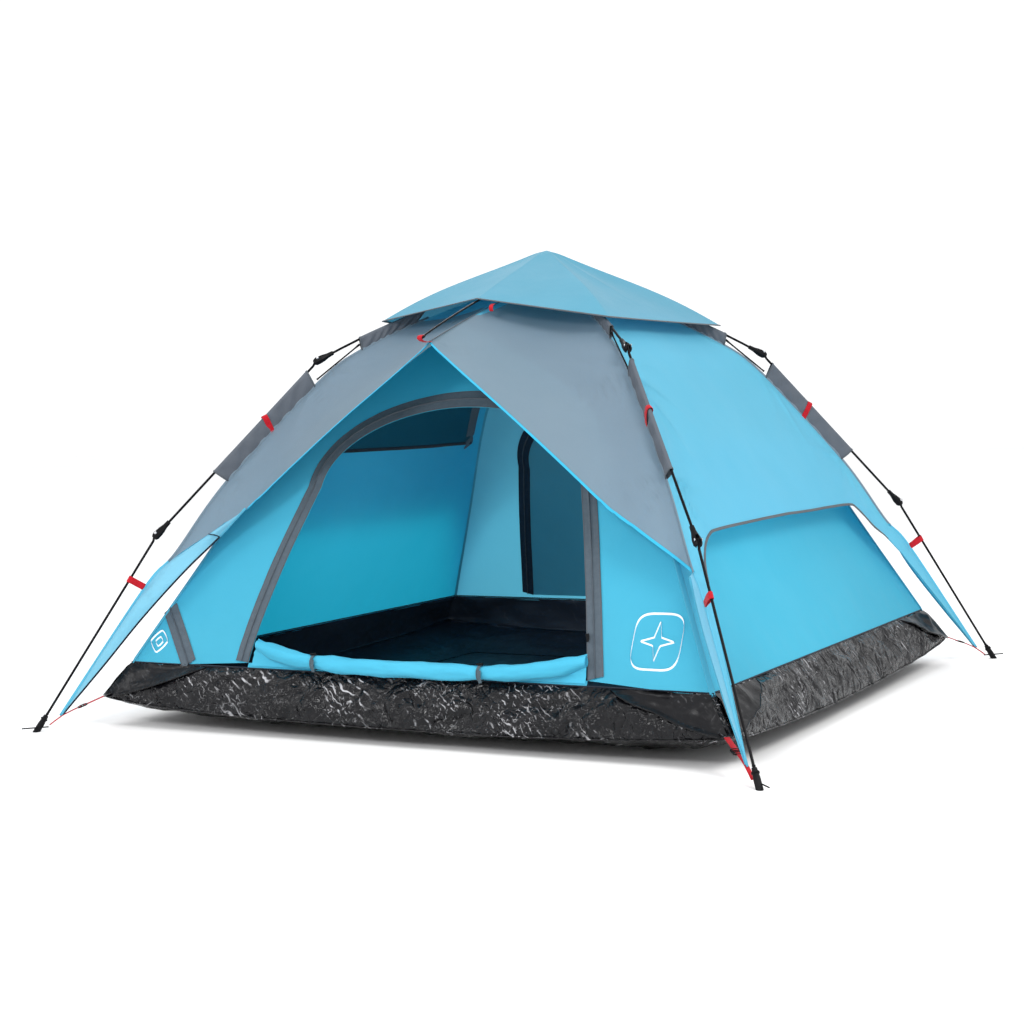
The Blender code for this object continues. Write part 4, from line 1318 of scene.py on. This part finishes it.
# Corner webbing: word, step, width, thickness, material, slot, route in the leg's plane.
STRAP_PARTS = (
    ("inner", 0.006, 0.016, 0.0026, "red_webbing", "webbing_red",
     [(1.405, 0.0940), (1.425, 0.0862), (1.458, 0.0735), (1.475, 0.0672)]),
    ("outer", 0.006, 0.012, 0.0026, "red_webbing", "webbing_red",
     [(1.478, 0.0662), (1.500, 0.0580), (1.532, 0.0440), (1.556, 0.0285), (1.5720, 0.0170)]),
    ("patch", 0.004, 0.030, 0.0030, "black_sheet", "sheet_black", [(1.392, 0.0990), (1.414, 0.0905)]),
)


def build_corner_strap(corner):
    """Webbing from a patch on the tub's corner through a buckle to the foot pin."""
    azimuth = AZIMUTH[corner]
    outward, sideways = leg_axes(azimuth)
    for word, step, width, thickness, material, slot, route in STRAP_PARTS:
        path = resample([leg_point(azimuth, place) for place in route], step)
        piece = strap("strap_%s_%s" % (word, corner), path, width, thickness, material, sideways)
        canopy(piece, ["corner_strap_" + corner] if word == "inner" else ())
    build_buckle(corner, azimuth, outward, sideways)


def build_buckle(corner, azimuth, outward, sideways):
    """Ladder-lock buckle: a rounded frame with two cross bars."""
    centre = leg_point(azimuth, (1.476, 0.0668))
    along_strap = (outward * 0.938 + Vector((0, 0, -0.347))).normalized()
    upward = along_strap.cross(sideways)
    points = []
    for i in range(33):
        a, b = rounded_square(2.0 * math.pi * i / 32, 0.45)
        points.append(centre + along_strap * (a * 0.0125) + sideways * (b * 0.0130))
    ring = sweep("buckle_frame_" + corner, points, lambda share: flat_section(0.0036, 0.0050, 8),
                 "nylon_black", upward)
    canopy(ring, ["strap_buckle_" + corner])
    for word, shift in (("one", -0.0030), ("two", 0.0040)):
        middle = centre + along_strap * shift + upward * 0.0012
        ends = [middle - sideways * 0.0125, middle + sideways * 0.0125]
        bar = tube("buckle_bar_%s_%s" % (word, corner), ends, 0.0019, "nylon_black", 8)
        canopy(bar)


def turned(name, base, axis, profile, sides, material):
    """Solid of revolution; the profile is (distance along the axis, radius)."""
    axis = axis.normalized()
    across = axis.orthogonal().normalized()
    upward = axis.cross(across)
    points = []
    for distance, radius in profile:
        for i in range(sides):
            angle = 2.0 * math.pi * i / sides
            spoke = across * math.cos(angle) + upward * math.sin(angle)
            points.append(base + axis * distance + spoke * radius)
    points, faces = with_ends(points, grid_faces(len(profile), sides, True), sides)
    return add_mesh(name, points, faces, material)


RIVET = [(0.0, 0.0030), (0.0008, 0.0042), (0.0016, 0.0040), (0.0023, 0.0026), (0.0025, 0.0004)]
FOOT_COLLAR = [(0.0, 0.0090), (0.0006, 0.0104), (0.0050, 0.0104), (0.0060, 0.0090)]
ROD_RING = [(0.0, 0.0038), (0.0003, 0.0048), (0.0013, 0.0048), (0.0016, 0.0038)]
# Webbing round the awning strut's tip as (forward, height), and the tab under the cap's edge as a point.
TIP_WEBBING = [(0.740, 1.0965), (0.762, 1.0945), (0.786, 1.0975), (0.7985, 1.1040), (0.7930, 1.1120),
               (0.7800, 1.1140)]
ROOF_TAB = [(0.050, 0.452, 1.211), (0.051, 0.468, 1.206), (0.052, 0.474, 1.196), (0.052, 0.470, 1.188)]


def build_frame_details():
    for corner in CORNERS:
        _, sideways = leg_axes(AZIMUTH[corner])
        for joint, body in (("upper_elbow_", "upper_leg_"), ("lower_elbow_", "middle_leg_")):
            pivot = Vector(JOINTS[joint + corner]["pos_m"])
            for word, sign in (("a", -1.0), ("b", 1.0)):
                base = pivot + sideways * (sign * 0.0088)
                name = "%srivet_%s_%s" % (joint, corner, word)
                put(turned(name, base, sideways * sign, RIVET, 16, "steel"), body + corner)
        foot = leg_point(AZIMUTH[corner], (FOOT_RADIUS, 0.0))
        knee = leg_point(AZIMUTH[corner], LOWER_ELBOW)
        up = (knee - foot).normalized()
        collar = turned("foot_collar_" + corner, foot + up * 0.040, up, FOOT_COLLAR, 24, "nylon_black")
        put(collar, "lower_leg_" + corner)
        for number, distance in enumerate((0.058, 0.0605)):
            ring = turned("rod_ring_%s_%d" % (corner, number), foot + up * distance, up, ROD_RING, 16,
                          "nylon_black")
            put(ring, "lower_leg_" + corner)


def build_awning_fittings():
    for word, forward in (("front", -1.0), ("rear", 1.0)):
        tip = Vector((0.0, STRUT_TIP[0] * forward, STRUT_TIP[1]))
        ahead = Vector((0.0, forward * 0.957, -0.290))
        cap = turned("strut_cap_" + word, tip - ahead * 0.020, ahead,
                     [(0.0, 0.0034), (0.001, 0.0048), (0.016, 0.0052), (0.023, 0.0046), (0.026, 0.0010)], 16,
                     "nylon_black")
        put(cap, "awning_arm_" + word)
        path = [Vector((0.0, y * forward, z)) for y, z in TIP_WEBBING]
        tape = strap("awning_tip_webbing_" + word, resample(path, 0.004), 0.016, 0.0016, "red_webbing",
                     X_AXIS)
        canopy(tape)
        tab = [Vector((x, y * forward, z)) for x, y, z in ROOF_TAB]
        red = strap("roof_tab_" + word, resample(tab, 0.003), 0.013, 0.0016, "red_webbing", X_AXIS)
        canopy(red)


def build_zip_slider():
    """Slider on the door's zip, with a tapered pull tab."""
    node = frame["nodes"]["zip_slider"]
    corners = [node.matrix_world @ Vector(c) for c in node.bound_box]
    centre = sum(corners, Vector()) / 8.0
    low = wall_point("front", DOOR_RIGHT + 0.020, DOOR_SILL)
    upward = (wall_point("front", DOOR_RIGHT - 0.114, 0.538) - low).normalized()
    outward = X_AXIS.cross(upward).normalized()
    across = upward.cross(outward)

    def plate(name, start, end, first_width, last_width, thickness, lift):
        path = [centre + upward * mix(start, end, i / 12) + outward * lift for i in range(13)]
        return sweep(name, path, lambda t: flat_section(mix(first_width, last_width, t), thickness, 16),
                     "nylon_black", across)

    body = plate("zip_slider_body", -0.007, 0.009, 0.0075, 0.0110, 0.0046, 0.0)
    put(body, "zip", ["zip_slider"], squash=True)
    tab = plate("zip_slider_tab", -0.015, 0.002, 0.0075, 0.0045, 0.0016, 0.0034)
    put(tab, "zip", squash=True)


BLACK_RODS = ("upper_rod", "middle_rod", "lower_rod", "foot_pin", "corner_strut", "awning_strut")
BLACK_NYLON = ("hub_body", "hub_bolt", "upper_socket", "lower_socket", "foot_cap")


def paint_frame():
    """Gives the frame's own solids, which stay in sight, their materials."""
    for name, item in frame["nodes"].items():
        for starts, look in ((BLACK_RODS, "rod_black"), (BLACK_NYLON, "nylon_black")):
            if name.startswith(starts):
                for slot in item.material_slots:
                    slot.material = MATERIALS[look]


# ---------------------------------------------------------------- prints

def print_line(name, wall, outline, width):
    """A printed line on a wall, a hair proud of the cloth."""
    path = [wall_point(wall, x, z, 0.0012) for x, z in outline]
    item = sweep(name, resample(path, 0.004), lambda share: flat_section(width, 0.0006, 6), "white_print")
    canopy(item)


def build_prints():
    """Plain ornaments where the tent has prints: a compass star in a rounded square, and a small diamond."""
    def shape(centre, size, power, sides=48):
        found = []
        for i in range(sides + 1):
            x, z = rounded_square(2.0 * math.pi * i / sides, power)
            found.append((centre[0] + x * size, centre[1] + z * size))
        return found

    def star(centre, size):
        found = []
        for i in range(9):
            angle = math.pi * i / 4.0 + math.pi / 2.0
            reach = size if i % 2 == 0 else size * 0.30
            found.append((centre[0] + math.cos(angle) * reach, centre[1] + math.sin(angle) * reach))
        return found

    print_line("print_square", "front", shape((0.742, 0.300), 0.068, 0.5), 0.0065)
    print_line("print_star", "front", star((0.742, 0.300), 0.048), 0.0050)
    print_line("print_diamond", "front", shape((-0.838, 0.245), 0.030, 1.6, 32), 0.0055)
    print_line("print_diamond_inner", "front", shape((-0.838, 0.245), 0.013, 1.6, 24), 0.0045)


# ---------------------------------------------------------------- floor, light and camera

def area_light(name, place, target, size, power, colour=(1.0, 1.0, 1.0)):
    data = bpy.data.lights.new(name, "AREA")
    data.shape = "DISK"
    data.size = size
    data.energy = power
    data.color = colour
    item = bpy.data.objects.new(name, data)
    item.location = place
    item.rotation_euler = (Vector(target) - Vector(place)).to_track_quat("-Z", "Y").to_euler()
    bpy.context.scene.collection.objects.link(item)


def build_studio():
    shader = Shader("studio_floor")
    patches = shader.remap(shader.noise(0.8, 3.0), 0.3, 0.7)
    tint = shader.blend(patches, (0.90, 0.90, 0.90), (0.93, 0.93, 0.93))
    shader.paint(tint, shader.remap(shader.noise(30.0), 0.2, 0.8, 0.75, 0.88))
    shader.set(Specular_IOR_Level=0.15)
    size = 30.0
    points = [(-size, -size, 0.0), (size, -size, 0.0), (size, size, 0.0), (-size, size, 0.0)]
    floor = add_mesh("studio_floor", [Vector(p) - Vector((0, 0, 0.0004)) for p in points], [(0, 1, 2, 3)],
                     "studio_floor")
    world = bpy.data.worlds.new("studio")
    world.use_nodes = True
    background = world.node_tree.nodes["Background"]
    background.inputs["Color"].default_value = (0.98, 0.99, 1.0, 1.0)
    background.inputs["Strength"].default_value = 1.12
    bpy.context.scene.world = world
    area_light("key", (4.2, -2.6, 4.6), (0.1, 0.0, 0.5), 2.4, 170.0, (1.0, 0.99, 0.97))
    area_light("front", (0.6, -5.8, 3.0), (0.0, -0.6, 0.2), 1.1, 100.0)
    area_light("rear", (-2.4, 4.6, 4.2), (0.0, 0.0, 0.6), 3.0, 60.0, (0.97, 0.98, 1.0))
    area_light("left", (-3.6, -4.2, 2.6), (0.0, -0.4, 0.6), 1.8, 38.0)
    area_light("inside", (-0.10, -0.55, 0.06), (0.45, 0.95, 0.50), 0.28, 8.0, (0.94, 0.99, 1.0))
    bpy.context.scene.view_settings.view_transform = "Standard"
    bpy.context.scene.view_settings.look = "None"


def build_camera():
    """Low three-quarter view from the front right."""
    yaw, pitch, roll = (math.radians(a) for a in (27.960, 3.236, -1.408))
    forward = Vector((-math.sin(yaw) * math.cos(pitch), math.cos(yaw) * math.cos(pitch), -math.sin(pitch)))
    level = Vector((math.cos(yaw), math.sin(yaw), 0.0))
    above = level.cross(forward)
    right = level * math.cos(roll) + above * math.sin(roll)
    up = above * math.cos(roll) - level * math.sin(roll)
    data = bpy.data.cameras.new("camera")
    data.sensor_width = 36.0
    data.lens = 64.18
    data.clip_end = 200.0
    camera = bpy.data.objects.new("camera", data)
    axes = Matrix((right, up, -forward)).transposed()
    camera.matrix_world = Matrix.Translation((2.5930, -5.1604, 0.9035)) @ axes.to_4x4()
    bpy.context.scene.collection.objects.link(camera)
    bpy.context.scene.camera = camera


# ---------------------------------------------------------------- whole tent

make_materials()
build_camera()
paint_frame()
build_side_panel("fly_right_panel", 1.0, "fly_right")
build_side_panel("fly_left_panel", -1.0, "fly_left")
build_awning("front", -1.0, "fly_front")
build_awning("rear", 1.0, "fly_rear")
build_leg_seams()
build_sleeves()
build_loops()
build_roof()
build_front_wall()
for wall_name in ("rear", "left", "right"):
    build_plain_wall(wall_name)
build_doors()
build_vents()
build_inner_seams()
build_tub()
build_door_roll()
for corner_name in CORNERS:
    build_corner_strap(corner_name)
build_frame_details()
build_awning_fittings()
build_zip_slider()
build_prints()
build_studio()
